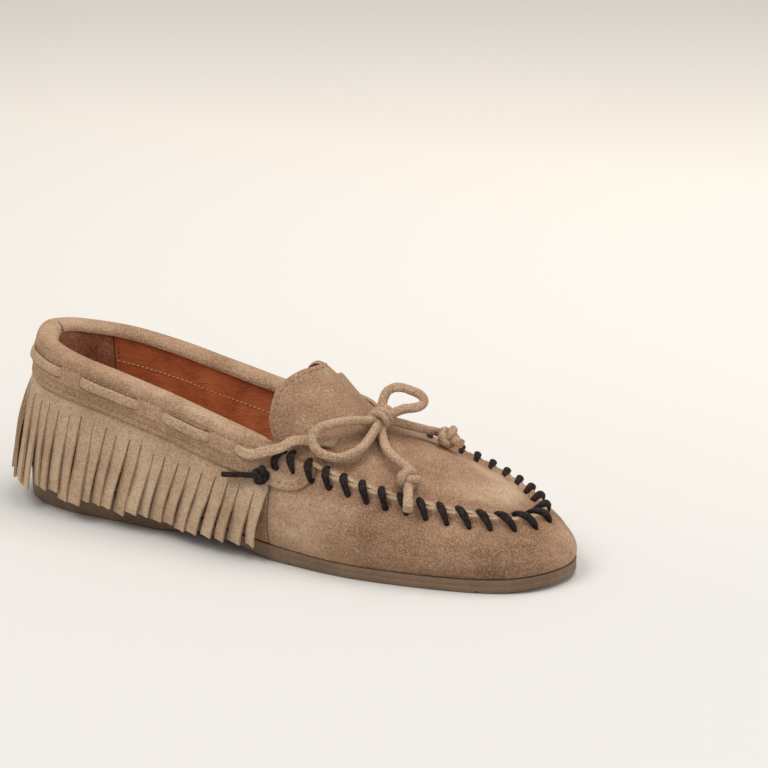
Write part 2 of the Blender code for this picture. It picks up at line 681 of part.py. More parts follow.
# ---------------------------------------------------------------- the fringe
def fringe_point(p, share, d):
    """share 0 is the fringe's hidden top edge, and 1 its hem near the ground."""
    t = side_of(p)[1]
    drop = read(COLLAR_DROP, t)
    top = drop - FRINGE_TUCK
    tuck_share = FRINGE_TUCK / 45
    if share <= tuck_share:
        return wall(p, top + FRINGE_TUCK * share / tuck_share, d)
    start, normal, down = wall_frame(p, drop)
    nx, ny = outward(round(float(p), 6))
    out = np.array([nx, ny, 0])
    x, y = outline(p)
    hem = np.array([x + nx * read(FRINGE_FLARE, t), y + ny * read(FRINGE_FLARE, t), read(FRINGE_HEM_Z, t)])
    middle = start + down * 17 + out * 3.5
    k = (share - tuck_share) / (1 - tuck_share)
    point = (1 - k) ** 2 * start + 2 * (1 - k) * k * middle + k * k * hem
    slope = 2 * (1 - k) * (middle - start) + 2 * k * (hem - middle)
    slope /= np.linalg.norm(slope)
    face = np.cross(slope, np.cross(out, slope))
    face /= np.linalg.norm(face)
    blend = smoothstep(0, .3, k)
    face = normal * (1 - blend) + face * blend
    return point + face / np.linalg.norm(face) * d


def make_fringe(name, side):
    """A strip of suede cut into strands below its band."""
    pitch = (FRINGE_END_T - .002) / STRANDS_PER_SIDE
    gap = pitch * STRAND_GAP / 6.0
    edges = []
    for i in range(STRANDS_PER_SIDE):
        edges += [.002 + i * pitch, .002 + (i + 1) * pitch - gap]
    places = [side * e for e in edges]
    shares = [0, FRINGE_TUCK / 45, .26, .58, 1]
    band_rows = 2
    cells = [[r < band_rows or c % 2 == 0 for c in range(len(places) - 1)] for r in range(len(shares) - 1)]
    outer = [[fringe_point(p, share, GAP + FRINGE_THICK) for p in places] for share in shares]
    inner = [[fringe_point(p, share, GAP) for p in places] for share in shares]
    sheet_solid(name, outer, inner, "suede", cells)


# ---------------------------------------------------------------- the lace through the collar
def lace_depth(t):
    """How far out the lace runs there: it dips into the collar between its visible runs."""
    shown = 0.0
    for start, end in LACE_SHOWN:
        shown = max(shown, smoothstep(start - LACE_DIVE, start + LACE_DIVE, t)
                    * (1 - smoothstep(end - LACE_DIVE, end + LACE_DIVE, t)))
    shown = max(shown, smoothstep(LACE_EXIT_T - LACE_DIVE, LACE_EXIT_T + LACE_DIVE, t))
    return LACE_HIDDEN_D + (LACE_SHOWN_D - LACE_HIDDEN_D) * shown


def lace_front(side):
    """From the collar's last slit over the top edge, across the plug's side and into its eyelet."""
    def across(t, s, d):
        return plug(t, s if side > 0 else 1 - s, d)
    t, s = EYELET
    points = [wall(side * .5, 4.6, LACE_SHOWN_D + .6), wall(side * .518, 1.6, 5.8), wall(side * .538, -2.0, 5.2),
              across(.12, .055, 3.6), across(.165, .1, 2.4), across(.203, .135, 1.5),
              across(t, s, 0.2), across(t + .012, s + .03, -2.6), across(t + .022, s + .055, -5.2)]
    normals = [wall_frame(side * .5, 5)[1], wall_frame(side * .518, 2)[1], wall_frame(side * .538, 0)[1]]
    for u, beside in ((.12, .055), (.165, .1), (.203, .135)):
        normals.append(across(u, beside, 1.0) - across(u, beside, 0.0))
    tilt = across(t + .08, s + .06, 0) - across(t, s, 0)
    tilt /= np.linalg.norm(tilt)
    normals += [normals[-1] * .5 + tilt * .6, tilt, tilt]
    return points, normals


def lace_path():
    turns = [LACE_EXIT_T] + [end for run in LACE_SHOWN for end in run]
    near = [edge + LACE_DIVE * k for edge in turns for k in (-1, -.5, 0, .5, 1)]
    half = sorted(near + [s for s in STATIONS if 0 < s < .45 and min(abs(s - n) for n in near) > .006])
    rear = [-s for s in half[::-1]] + [0] + half
    path = [wall(p, LACE_W - 0.7 * smoothstep(.42, .47, abs(p)), lace_depth(abs(p))) for p in rear]
    ups = [wall_frame(p, LACE_W)[1] for p in rear]
    front, front_up = lace_front(1)
    back, back_up = lace_front(-1)
    path = back[::-1] + path + front
    ups = back_up[::-1] + ups + front_up
    return path, ups


def make_collar_lace(collar, plug_object, tongue_lining):
    path, ups = lace_path()
    swept("collar_lace", tube_sections(path, ups, LACE_HALF_WIDTH, LACE_HALF_THICK, 6), material="suede")
    grown = tube_sections(path, ups, LACE_HALF_WIDTH + GAP, LACE_HALF_THICK + GAP, 6)
    channel = hide_cutter(swept("lace_channel", grown[8:-8], material="suede"))
    cut(collar, channel)
    for side, rings in ((1, grown[-5:]), (-1, grown[:5])):
        eyelet = hide_cutter(swept(f"eyelet_{side}", rings, material="suede"))
        cut(plug_object, eyelet)
        cut(tongue_lining, eyelet)


# ---------------------------------------------------------------- the bow
KNOT = np.array([173.6, -3.4, 56.3])
KNOT_RADIUS = 4.0
LOOP_LATERAL = [(170.0, -10.5, 57.0), (164.4, -19.3, 58.3), (157.0, -28.2, 56.8), (156.2, -31.8, 52.3),
                (160.2, -32.0, 47.9), (168.0, -30.3, 46.6), (173.5, -23.7, 48.7), (174.6, -14.8, 52.2)]
LOOP_MEDIAL = [(172.2, 1.0, 63.0), (173.7, 3.0, 66.9), (177.7, 5.0, 67.8), (182.7, 7.0, 66.4), (187.6, 8.0, 62.8),
               (187.2, 5.2, 60.2), (182.0, 0.6, 60.1)]
TAIL_LATERAL = [(180.0, -8.0, 51.0), (184.0, -14.4, 48.0), (189.4, -18.6, 45.8), (194.0, -22.2, 44.2)]
TAIL_MEDIAL = [(178.6, 2.6, 54.3), (184.2, 9.6, 51.4), (190.6, 17.0, 47.4)]
TAIL_TIP_LATERAL = (202.6, -40.4, 36.2)
TAIL_TIP_MEDIAL = (203.6, 13.0, 45.4)
STOPPER = [(0, 1.6), (1.0, 3.1), (3.2, 4.1), (5.6, 3.6), (7.2, 2.2), (9.5, 1.9)]


def toward(start, end, distance):
    """The point that far from start on the way to end."""
    way = np.array(end, float) - start
    return start + way / np.linalg.norm(way) * distance


def make_bow():
    ball = [(-KNOT_RADIUS * math.cos(a), KNOT_RADIUS * math.sin(a)) for a in np.linspace(.16, math.pi - .16, 9)]
    turned("bow_knot", KNOT, (0, 1, 0.001), ball, "suede", sides=12)
    reach = KNOT_RADIUS + 0.45
    for name, loop in (("bow_loop_lateral", LOOP_LATERAL), ("bow_loop_medial", LOOP_MEDIAL)):
        points = [toward(KNOT, loop[0], reach)] + loop + [toward(KNOT, loop[-1], reach)]
        cord(name, points, CORD_RADIUS, "suede")
    for side, tail, tip in (("lateral", TAIL_LATERAL, TAIL_TIP_LATERAL), ("medial", TAIL_MEDIAL, TAIL_TIP_MEDIAL)):
        cord("lace_tail_" + side, [toward(KNOT, tail[0], reach)] + tail, CORD_RADIUS, "suede", spacing=3.5)
        end = np.array(tail[-1])
        whole = np.linalg.norm(np.array(tip) - end) - 1.7
        turned("tail_knot_" + side, toward(end, tip, 1.7), np.array(tip) - end, STOPPER + [(whole, 1.9)], "suede")


# ---------------------------------------------------------------- the whipstitched thong
def stitch_path(start_turn, end_turn, steps=8):
    """A helix round the seam: each turn shows over the seam's lip and returns inside the shoe."""
    places = np.linspace(STITCH_START_T, 2 - STITCH_START_T, 161)
    along = lengths_along(np.array([wall(p, 0, 0) for p in places]))
    points = []
    for i in range(int((end_turn - start_turn) * steps) + 1):
        turn = start_turn + i / steps
        p = float(np.interp(turn / STITCHES * along[-1], along, places))
        point, normal, down = wall_frame(p, 0)
        angle = 2 * math.pi * turn
        points.append(point + normal * (STITCH_OUT * math.sin(angle) + 0.05)
                      + down * (STITCH_CENTRE_W - STITCH_HALF_WIDTH * math.cos(angle)))
    return points


def make_thong(*hosts):
    path = stitch_path(0.02, STITCHES - 0.52)
    ups = steady_ups(path)
    swept("seam_thong", tube_sections(path, ups, THONG_RADIUS, THONG_RADIUS, 4), material="thong")
    hole = THONG_RADIUS + GAP + .2
    cutter = hide_cutter(swept("thong_holes", tube_sections(path, ups, hole, hole, 4), material="thong"))
    for host in hosts:
        cut(host, cutter)
    for side, name in ((1, "thong_knot_lateral"), (-1, "thong_knot_medial")):
        start = wall(side * .518, 11.2, 6.0)
        aim = wall(side * .454, 17.6, 6.8) - start
        unit = aim / np.linalg.norm(aim)
        bulge = [(-3.3, .9), (-2.7, 2.2), (-.9, 3.3), (1.1, 3.3), (2.7, 2.1), (3.8, 1.3), (18.4, 1.3)]
        turned(name, start, unit, bulge, "thong")


def steady_ups(path):
    """A direction across the path at each point that turns as little as it can."""
    path = np.array(path)
    up = np.array([0.0, 0.0, 1.0])
    ups = []
    for i in range(len(path)):
        along = path[min(i + 1, len(path) - 1)] - path[max(i - 1, 0)]
        along /= np.linalg.norm(along)
        up = up - along * np.dot(up, along)
        up /= np.linalg.norm(up)
        ups.append(up)
    return ups


# ---------------------------------------------------------------- the whole shoe
def centre_on_box():
    """Moves everything so that the origin is the middle of the shoe's underside."""
    bpy.context.view_layer.update()
    shown = [o for o in bpy.context.scene.objects if not o.hide_render]
    graph = bpy.context.evaluated_depsgraph_get()
    corners = []
    for obj in shown:
        solid = obj.evaluated_get(graph)
        corners += [obj.matrix_world @ v.co for v in solid.to_mesh().vertices]
        solid.to_mesh_clear()
    low = Vector([min(c[k] for c in corners) for k in range(3)])
    high = Vector([max(c[k] for c in corners) for k in range(3)])
    shift = Vector((-(low.x + high.x) / 2, -(low.y + high.y) / 2, -low.z))
    for obj in bpy.context.scene.objects:
        obj.matrix_world = Matrix.Translation(shift) @ obj.matrix_world
    print("moved by", tuple(round(v, 6) for v in shift))


def main():
    for obj in list(bpy.data.objects):
        bpy.data.objects.remove(obj)
    make_outsole()
    make_footbed()
    vamp = make_upper()
    plug_object = make_plug()
    collar = make_collar()
    make_fringe("fringe_lateral", 1)
    make_fringe("fringe_medial", -1)
    make_collar_lace(collar, plug_object, bpy.data.objects["tongue_lining"])
    make_bow()
    make_thong(vamp, plug_object, collar)
    centre_on_box()


main()
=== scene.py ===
"""The finished look of the moccasin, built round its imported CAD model.

The shape functions work in millimetres from the back of the heel: x runs to the toe, -y is the outer
(lateral) side and z is up. A place round the shoe is one number p: 0 at the heel, up to 1 at the toe tip
along the outer side, and down to -1 along the inner side. w is the distance down the wall from its top
edge, and d the distance out of it.
"""
import math
from functools import lru_cache

import bmesh
import bpy
import numpy as np
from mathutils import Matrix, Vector, noise


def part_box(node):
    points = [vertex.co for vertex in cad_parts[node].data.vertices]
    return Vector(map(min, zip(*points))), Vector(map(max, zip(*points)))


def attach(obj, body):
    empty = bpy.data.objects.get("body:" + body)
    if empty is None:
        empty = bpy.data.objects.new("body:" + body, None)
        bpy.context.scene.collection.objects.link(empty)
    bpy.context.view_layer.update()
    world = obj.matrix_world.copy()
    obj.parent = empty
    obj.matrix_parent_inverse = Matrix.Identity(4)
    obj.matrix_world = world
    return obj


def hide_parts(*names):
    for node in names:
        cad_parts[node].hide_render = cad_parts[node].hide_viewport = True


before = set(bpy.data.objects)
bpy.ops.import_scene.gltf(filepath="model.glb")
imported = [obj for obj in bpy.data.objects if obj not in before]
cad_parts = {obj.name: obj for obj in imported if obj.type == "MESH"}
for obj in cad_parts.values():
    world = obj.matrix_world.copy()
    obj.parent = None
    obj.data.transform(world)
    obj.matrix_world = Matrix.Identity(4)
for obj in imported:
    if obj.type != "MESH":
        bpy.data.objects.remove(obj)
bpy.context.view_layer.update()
TO_METRES = 0.001
RANDOM = np.random.default_rng(11)
SIDES = ((1, "lateral"), (-1, "medial"))


# ---------------------------------------------------------------- driving dimensions
SOLE_LENGTH = 260.0
GAP = 0.3

# The outline of the sole, from the toe tip round the lateral side to the heel, and back.
TOE_TIP = (SOLE_LENGTH, -2.5)
HEEL_BACK = (0.0, -2.8)
LATERAL_EDGE = [(258, -12), (252.5, -21.8), (242, -30.2), (225, -36.2), (200, -40.9), (175, -43.1),
                (148, -41.0), (120, -36.5), (90, -31.9), (60, -30.2), (35, -29.0), (15, -23.5), (4, -13.6)]
MEDIAL_EDGE = [(4, 8.6), (15, 20.0), (35, 27.0), (60, 26.9), (85, 23.4), (108, 20.9), (130, 23.8),
               (152, 31.6), (175, 39.0), (200, 41.2), (222, 36.6), (242, 25.3), (252.5, 14.6), (258, 6)]

# Tables over t, the share of the way along one side from the heel (0) to the toe tip (1).
TOP_HEIGHT = [(0, 75.5), (.05, 74.3), (.1, 71.8), (.18, 68), (.265, 63.3), (.37, 56.8), (.475, 49.8),
              (.52, 46.5), (.575, 41.8), (.67, 36.0), (.757, 31.4), (.837, 28.3), (.905, 26.8), (1, 25.6)]
TOP_INSET_LATERAL = [(0, 12), (.05, 9.5), (.1, 6.8), (.2, 4.0), (.37, 3.0), (.475, 5.0), (.575, 8.6),
                     (.67, 9.8), (.757, 10.3), (.837, 11.6), (.905, 13.3), (1, 15.0)]
TOP_INSET_MEDIAL = [(0, 12), (.05, 9.5), (.1, 6.5), (.2, 3.0), (.3, -0.5), (.4, -4.5), (.475, -6.5),
                    (.53, -5.5), (.6, 1.4), (.67, 7.8), (.757, 12.8), (.837, 14.2), (.905, 14.4), (1, 15.0)]
TOP_LEAN = [(0, 13), (.08, 10), (.2, 6), (.45, 12), (.52, 22), (.575, 30), (.67, 41), (.757, 50),
            (.837, 56), (.905, 60), (1, 62)]
BASE_FLARE = [(0, 14), (.3, 12), (.5, 22), (.7, 30), (1, 34)]
BASE_INSET = 0.8

# The plug: it runs from TONGUE_T to PLUG_END_T along the two sides and then round the toe. Over the share
# of its length, how far its middle stands above and ahead of its two edges.
TONGUE_T = 0.502
PLUG_SEWN_T = 0.545
PLUG_END_T = 0.9
PLUG_RISE = [(0, 30.9), (.05, 29.4), (.1, 27), (.14, 24.2), (.19, 20), (.25, 16.6), (.3, 14.3), (.42, 10.8),
             (.55, 9.5), (.64, 8.6), (.75, 7.2), (.87, 4.2), (1, 0)]
PLUG_SHIFT = [(0, 5), (.08, 5), (.19, 3), (.29, 1.5), (.42, .5), (.55, 0), (1, 0)]
CROWN_POWER = 1.7
TONGUE_ROUNDER = 0.7
TONGUE_INSIDE = 7.6
TONGUE_BELOW = 1.0
# How far forward the tongue's free edge lies, from its middle (0) out to its sides (1).
TONGUE_EDGE = [(0, 9.8), (.06, 9.6), (.14, 8.3), (.28, 4.2), (.42, .2), (.61, -4.4), (.8, -4.8), (1, -1)]
EDGE_SLOPE = 26  # of the plug beside its seam, in degrees
LIP = 2.0
LIP_FROM = 0.2

# The outsole: heights along x.
SOLE_TOP = [(0, 13.5), (50, 13.5), (80, 12.6), (120, 8.6), (150, 6.4), (175, 5.6), (215, 5.5),
            (240, 6.0), (258, 6.9)]
SOLE_UNDER = [(0, 0), (78, 0), (92, 2.6), (106, 4.2), (120, 3.4), (136, 0.9), (148, 0), (222, 0),
              (240, .4), (258, 1.5)]
SOLE_EDGE_ROUND = 1.0
GROOVES_X = (30.0, 150.0, 231.0)
GROOVE_WIDTH = 1.3
GROOVE_DEPTH = 0.9
PIN_HOLE_RADIUS = 1.0
PIN_HOLE_DEPTH = 1.6
HEEL_PIN_HOLES_X = (46, 54, 62)
HEEL_PIN_HOLES_Y = (-19, 15)
TOE_PIN_HOLES = [(239, -12), (240, 1), (239, 14)]

# Thicknesses and places of the layers.
SUEDE = 1.4
LINING_OUT, LINING_IN = -3.2, -4.2
LASTING_MARGIN = 9.0
LINING_DROP = 5.6
SEAM_T = 0.525
SHEET_EDGE = 0.0022
HEEL_EDGE = 0.0012
GRIP_T = 0.14
COLLAR_DROP = [(0, 16), (.1, 16.5), (.2, 15.5), (.45, 14.5), (.53, 13.5), (.6, 13.5)]
COLLAR_THICK = 4.3
COLLAR_FRONT_T = 0.49
TAB_START_T = 0.53
TAB_END_T = 0.588
TAB_THICK = 1.7

FRINGE_THICK = 1.2
FRINGE_END_T = 0.526
FRINGE_TUCK = 4.8
TUCK_SHARE = FRINGE_TUCK / 45
FRINGE_HEM_Z = [(0, 12), (.07, 10), (.2, 9.0), (.32, 6.5), (.45, 7), (.54, 8)]
FRINGE_FLARE = [(0, 5.0), (.1, 5.6), (.25, 5.4), (.54, 4.4)]
STRANDS_PER_SIDE = 24

LACE_HALF_WIDTH = 2.2
LACE_HALF_THICK = 1.0
LACE_W = 6.3
LACE_HIDDEN_D = 2.3
LACE_SHOWN_D = 5.0
LACE_SHOWN = [(.057, .150), (.197, .290), (.342, .418)]
LACE_EXIT_T = 0.472
LACE_SLITS = [LACE_EXIT_T] + [end for run in LACE_SHOWN for end in run]
LACE_DIVE = 0.016
EYELET = (0.223, 0.16)
CORD_RADIUS = 1.9

STITCHES = 28
STITCH_START_T = 0.537


# ---------------------------------------------------------------- curves and tables
def catmull_rom(points, closed, steps):
    """A smooth curve through the points, as a dense polyline."""
    pts = np.array(points, float)
    if closed:
        around = np.vstack([pts[-1], pts, pts[:2]])
    else:
        around = np.vstack([2 * pts[0] - pts[1], pts, 2 * pts[-1] - pts[-2]])
    t = np.linspace(0, 1, steps, endpoint=False)[:, None]
    spans = []
    for a, b, c, d in zip(around, around[1:], around[2:], around[3:]):
        spans.append(0.5 * (2 * b + (c - a) * t + (2 * a - 5 * b + 4 * c - d) * t ** 2
                            + (3 * b - a - 3 * c + d) * t ** 3))
    curve = np.vstack(spans)
    return curve if closed else np.vstack([curve, pts[-1]])


def unit(vector):
    return vector / np.linalg.norm(vector)


def lengths_along(line):
    return np.concatenate([[0], np.cumsum(np.linalg.norm(np.diff(line, axis=0), axis=1))])


@lru_cache(maxsize=None)
def table_slopes(table):
    x, y = np.array(table, float).T
    rates = np.diff(y) / np.diff(x)
    slope = np.zeros(len(x))
    for i in range(1, len(x) - 1):
        before, after = rates[i - 1], rates[i]
        if before * after > 0:
            slope[i] = 2 * before * after / (before + after)
    return x, y, slope


def read(table, t):
    """The table's value at t, on a smooth curve that never goes past the listed values."""
    x, y, slope = table_slopes(tuple(table))
    t = min(max(t, x[0]), x[-1])
    i = min(int(np.searchsorted(x, t, side="right")) - 1, len(x) - 2)
    h = x[i + 1] - x[i]
    k = (t - x[i]) / h
    return float((1 + 2 * k) * (1 - k) ** 2 * y[i] + k * (1 - k) ** 2 * h * slope[i]
                 + k * k * (3 - 2 * k) * y[i + 1] + k * k * (k - 1) * h * slope[i + 1])


def smoothstep(low, high, x):
    k = min(max((x - low) / (high - low), 0.0), 1.0)
    return k * k * (3 - 2 * k)


OUTLINE_STEPS = 24
OUTLINE = catmull_rom([TOE_TIP] + LATERAL_EDGE + [HEEL_BACK] + MEDIAL_EDGE, closed=True,
                      steps=OUTLINE_STEPS)
HEEL_INDEX = OUTLINE_STEPS * (len(LATERAL_EDGE) + 1)
LATERAL = OUTLINE[HEEL_INDEX::-1]
MEDIAL = np.vstack([OUTLINE[HEEL_INDEX:], OUTLINE[:1]])


def side_of(p):
    """(is it the lateral side, share of the way from heel to toe)."""
    q = (p + 1) % 2 - 1
    return q >= 0, abs(q)


def outline(p):
    """A point of the sole's outline."""
    lateral, t = side_of(p)
    line = LATERAL if lateral else MEDIAL
    along = lengths_along(line)
    at = t * along[-1]
    return np.array([np.interp(at, along, line[:, 0]), np.interp(at, along, line[:, 1])])


@lru_cache(maxsize=None)
def outward(p):
    """The horizontal direction out of the shoe there, evened out round the toe."""
    step = 0.006 + 0.04 * smoothstep(.75, .92, side_of(p)[1])
    a, b = outline(p - step), outline(p + step)
    along = (b - a) / np.linalg.norm(b - a)
    return np.array([along[1], -along[0]])


def base_height(p):
    return read(SOLE_TOP, float(outline(p)[0])) + GAP


# ---------------------------------------------------------------- the upper's surface
@lru_cache(maxsize=None)
def profile(p):
    """The wall's cross-section there, from its top edge to its base: (distance out, height), and lengths."""
    lateral, t = side_of(p)
    inset = read(TOP_INSET_LATERAL if lateral else TOP_INSET_MEDIAL, t)
    top, base = read(TOP_HEIGHT, t), base_height(p)
    lean, flare = math.radians(read(TOP_LEAN, t)), math.radians(read(BASE_FLARE, t))
    height = top - base
    lower, upper = 0.38 * height, (0.3 + 0.16 * smoothstep(.5, .75, t)) * height
    handles = np.array([
        (-inset, top),
        (-inset + upper * math.sin(lean), top - upper * math.cos(lean)),
        (-BASE_INSET + lower * math.sin(flare), base + lower * math.cos(flare)),
        (-BASE_INSET, base),
    ])
    k = np.linspace(0, 1, 41)[:, None]
    line = ((1 - k) ** 3 * handles[0] + 3 * (1 - k) ** 2 * k * handles[1]
            + 3 * (1 - k) * k * k * handles[2] + k ** 3 * handles[3])
    return line, lengths_along(line)


def wall_length(p):
    return float(profile(p)[1][-1])


def at_length(line, along, w, sewn=0.0):
    """A point of a polyline, run on straight past its ends. Where it is sewn, w < 0 follows the plug."""
    if w < 0:
        up = (line[1] - line[0]) / (along[1] - along[0])
        slope = math.radians(EDGE_SLOPE)
        return line[0] + w * (up * (1 - sewn) + np.array([math.cos(slope), -math.sin(slope)]) * sewn)
    if w > along[-1]:
        return line[-1] + (line[-1] - line[-2]) / (along[-1] - along[-2]) * (w - along[-1])
    return np.array([np.interp(w, along, line[:, 0]), np.interp(w, along, line[:, 1])])


def wall_frame(p, w):
    """(point of the suede's outer face, outward normal, direction down the wall)."""
    p, w = round(float(p), 6), float(w)
    line, along = profile(p)
    sewn = smoothstep(TAB_START_T, TAB_START_T + .03, side_of(p)[1])
    here = at_length(line, along, w, sewn)
    down = unit(at_length(line, along, w + 0.4, sewn) - at_length(line, along, w - 0.4, sewn))
    x, y = outline(p)
    nx, ny = outward(p)
    point = np.array([x + nx * here[0], y + ny * here[0], here[1]])
    normal = np.array([-nx * down[1], -ny * down[1], down[0]])
    return point, normal, np.array([nx * down[0], ny * down[0], down[1]])


def wall(p, w, d):
    point, normal, _ = wall_frame(p, w)
    return point + normal * d


def plug_side(p):
    """The plug's edge: on the seam, and behind it the tongue's edge, hanging free inside the topline."""
    free = smoothstep(PLUG_SEWN_T, PLUG_SEWN_T - .018, side_of(p)[1])
    return wall(p, TONGUE_BELOW * free, -TONGUE_INSIDE * free)


def plug_middle(u, s):
    """The plug's outer face: u runs from the tongue's free edge (0) to the toe seam (1), s across from the
    lateral seam (0) to the medial (1). Its three sewn edges lie on the wall's top edge."""
    t = TONGUE_T + (PLUG_END_T - TONGUE_T) * u
    left, right = plug_side(t), plug_side(-t)
    straight = left + (right - left) * s
    end_left, end_right = wall(PLUG_END_T, 0, 0), wall(-PLUG_END_T, 0, 0)
    toe = wall(PLUG_END_T + (2 - 2 * PLUG_END_T) * s, 0, 0) - (end_left + (end_right - end_left) * s)
    side = abs(2 * s - 1)
    free = 1 - smoothstep(0, .19, u)
    crown = 1 - side ** (CROWN_POWER + TONGUE_ROUNDER * free)
    forward = free * read(TONGUE_EDGE, side) + (1 - free) * crown * read(PLUG_SHIFT, u)
    return straight + toe * u ** 3 + np.array([forward, 0, crown * read(PLUG_RISE, u)])


def plug_neighbours(u, s):
    """The places on the wall beside that point of the plug, and round the toe from it."""
    t = TONGUE_T + (PLUG_END_T - TONGUE_T) * u
    return (t if s < 0.5 else -t), PLUG_END_T + (2 - 2 * PLUG_END_T) * s


def plug_normal(own, u, s):
    """The plug's own normal, turned into the wall's beside its seam."""
    beside, toe = plug_neighbours(u, s)
    side_share = 1 - smoothstep(0, 0.15, min(s, 1 - s))
    toe_share = 1 - smoothstep(0, 0.15, 1 - u)
    total = own * (1 - max(side_share, toe_share))
    total = total + wall_frame(beside, 0)[1] * side_share * (1 - toe_share)
    return unit(total + wall_frame(toe, 0)[1] * toe_share)


def plug(u, s, d):
    """A point d out of the plug's face."""
    step = 0.004
    across = plug_middle(u, min(s + step, 1)) - plug_middle(u, max(s - step, 0))
    forward = plug_middle(min(u + step, 1), s) - plug_middle(max(u - step, 0), s)
    return plug_middle(u, s) + plug_normal(unit(np.cross(forward, across)), u, s) * d


# Where the lace's route is worked out between its slits.
STATIONS = [.012, .026, .042, .06, .082, .11, .15, .2, .25, .29, .32, .35, .38, .41, .44]


def evenly(path, spacing):
    """The path again, with points about that far apart."""
    path = np.array(path, float)
    along = lengths_along(path)
    at = np.linspace(0, along[-1], max(2, round(along[-1] / spacing) + 1))
    return np.stack([np.interp(at, along, path[:, k]) for k in range(3)], axis=1)


def footbed_grid(inset, height, stations, shares):
    """Rows across the shoe, from the heel to the toe, on the outline moved in by inset."""
    rows = []
    for t in stations:
        left = outline(t) - outward(round(float(t), 6)) * inset
        right = outline(-t) - outward(round(float(-t), 6)) * inset
        row = [left + (right - left) * s for s in shares]
        rows.append([(*point, height(float(point[0]))) for point in row])
    return rows


def ring_of(grid):
    """The closed edge of a footbed grid: up the lateral side, back down the medial."""
    grid = np.array(grid)
    return np.vstack([grid[:, 0], grid[-2:0:-1, -1]])


def collar_section(p):
    """The collar's cross-section: it folds over the topline, and in front becomes a flat tab on the vamp."""
    t = side_of(p)[1]
    drop = read(COLLAR_DROP, t)
    end = (t - TAB_START_T) / (TAB_END_T - TAB_START_T)
    if end > 0:
        drop = 1.2 + (drop - 1.2) * math.sqrt(max(1 - min(end, 1) ** 2, 0.0))
    leg = 1 - .96 * smoothstep(.455, .492, t)
    over = 1 - smoothstep(.492, .513, t)
    above = 1 - smoothstep(.513, TAB_START_T, t)
    thick = TAB_THICK + (COLLAR_THICK - TAB_THICK) * (1 - smoothstep(COLLAR_FRONT_T - .03, TAB_START_T, t))
    hem = min(thick, 3.2)
    step = 0.3 + 1.7 * smoothstep(TAB_START_T + .016, TAB_START_T + .004, t)
    folded = [(thick - .35, -.9), (thick - 1.5, -2.3), (-.6, -3.1), (-3.4, -2.6), (-5.1, -1.4),
              (-5.7, -.3 + .3 * leg), (-5.7, -.3 + .9 * leg), (-4.5, -.3 + .9 * leg), (-4.5, -.3)]
    top = []
    for i, (d, w) in enumerate(folded):
        flat = TAB_THICK + (0.3 - TAB_THICK) * (i + 1) / 10
        top.append((d * over + flat * (1 - over), w * above + 0.2 * (1 - above)))
    upper = 0.2 - 0.5 * above
    tuck = max(drop - 5.6, drop * 0.55)
    face = [(step, drop), (hem, drop), (hem, max(drop - 4, drop * .7)), (thick, tuck),
            (thick, min(1.5, drop * .4))]
    return face + top + [(0.3, upper), (0.3, .5 * tuck), (0.3, tuck), (step, tuck + .15)]


def fringe_point(p, share, d):
    """share 0 is the fringe's hidden top edge, and 1 its hem near the ground."""
    t = side_of(p)[1]
    drop = read(COLLAR_DROP, t)
    top = drop - FRINGE_TUCK
    if share <= TUCK_SHARE:
        return wall(p, top + FRINGE_TUCK * share / TUCK_SHARE, d)
    start, normal, down = wall_frame(p, drop)
    nx, ny = outward(round(float(p), 6))
    out = np.array([nx, ny, 0])
    x, y = outline(p)
    flare = read(FRINGE_FLARE, t)
    hem = np.array([x + nx * flare, y + ny * flare, read(FRINGE_HEM_Z, t)])
    middle = start + down * 17 + out * 3.5
    k = (share - TUCK_SHARE) / (1 - TUCK_SHARE)
    point = (1 - k) ** 2 * start + 2 * (1 - k) * k * middle + k * k * hem
    slope = unit(2 * (1 - k) * (middle - start) + 2 * k * (hem - middle))
    face = unit(np.cross(slope, np.cross(out, slope)))
    blend = smoothstep(0, .3, k)
    face = normal * (1 - blend) + face * blend
    return point + face / np.linalg.norm(face) * d


def lace_shown(t, blur):
    """1 where the lace runs on the collar's face, 0 where it is inside the collar, with blurred ends."""
    runs = [smoothstep(start - blur, start + blur, t) * (1 - smoothstep(end - blur, end + blur, t))
            for start, end in LACE_SHOWN]
    return max(runs + [smoothstep(LACE_EXIT_T - blur, LACE_EXIT_T + blur, t)])


def lace_depth(t):
    """How far out the lace runs there: it dips into the collar between its visible runs."""
    return LACE_HIDDEN_D + (LACE_SHOWN_D - LACE_HIDDEN_D) * lace_shown(t, LACE_DIVE)


def lace_front(side):
    """From the collar's last slit over the top edge, across the plug's side and into its eyelet."""
    def across(t, s, d):
        return plug(t, s if side > 0 else 1 - s, d)
    t, s = EYELET
    points = [wall(side * .5, 4.6, LACE_SHOWN_D + .6), wall(side * .518, 1.6, 5.8),
              wall(side * .538, -2.0, 5.2), across(.12, .055, 3.6), across(.165, .1, 2.4),
              across(.203, .135, 1.5),
              across(t, s, 0.2), across(t + .012, s + .03, -2.6), across(t + .022, s + .055, -5.2)]
    normals = [wall_frame(side * .5, 5)[1], wall_frame(side * .518, 2)[1], wall_frame(side * .538, 0)[1]]
    for u, beside in ((.12, .055), (.165, .1), (.203, .135)):
        normals.append(across(u, beside, 1.0) - across(u, beside, 0.0))
    tilt = unit(across(t + .08, s + .06, 0) - across(t, s, 0))
    normals += [normals[-1] * .5 + tilt * .6, tilt, tilt]
    return points, normals


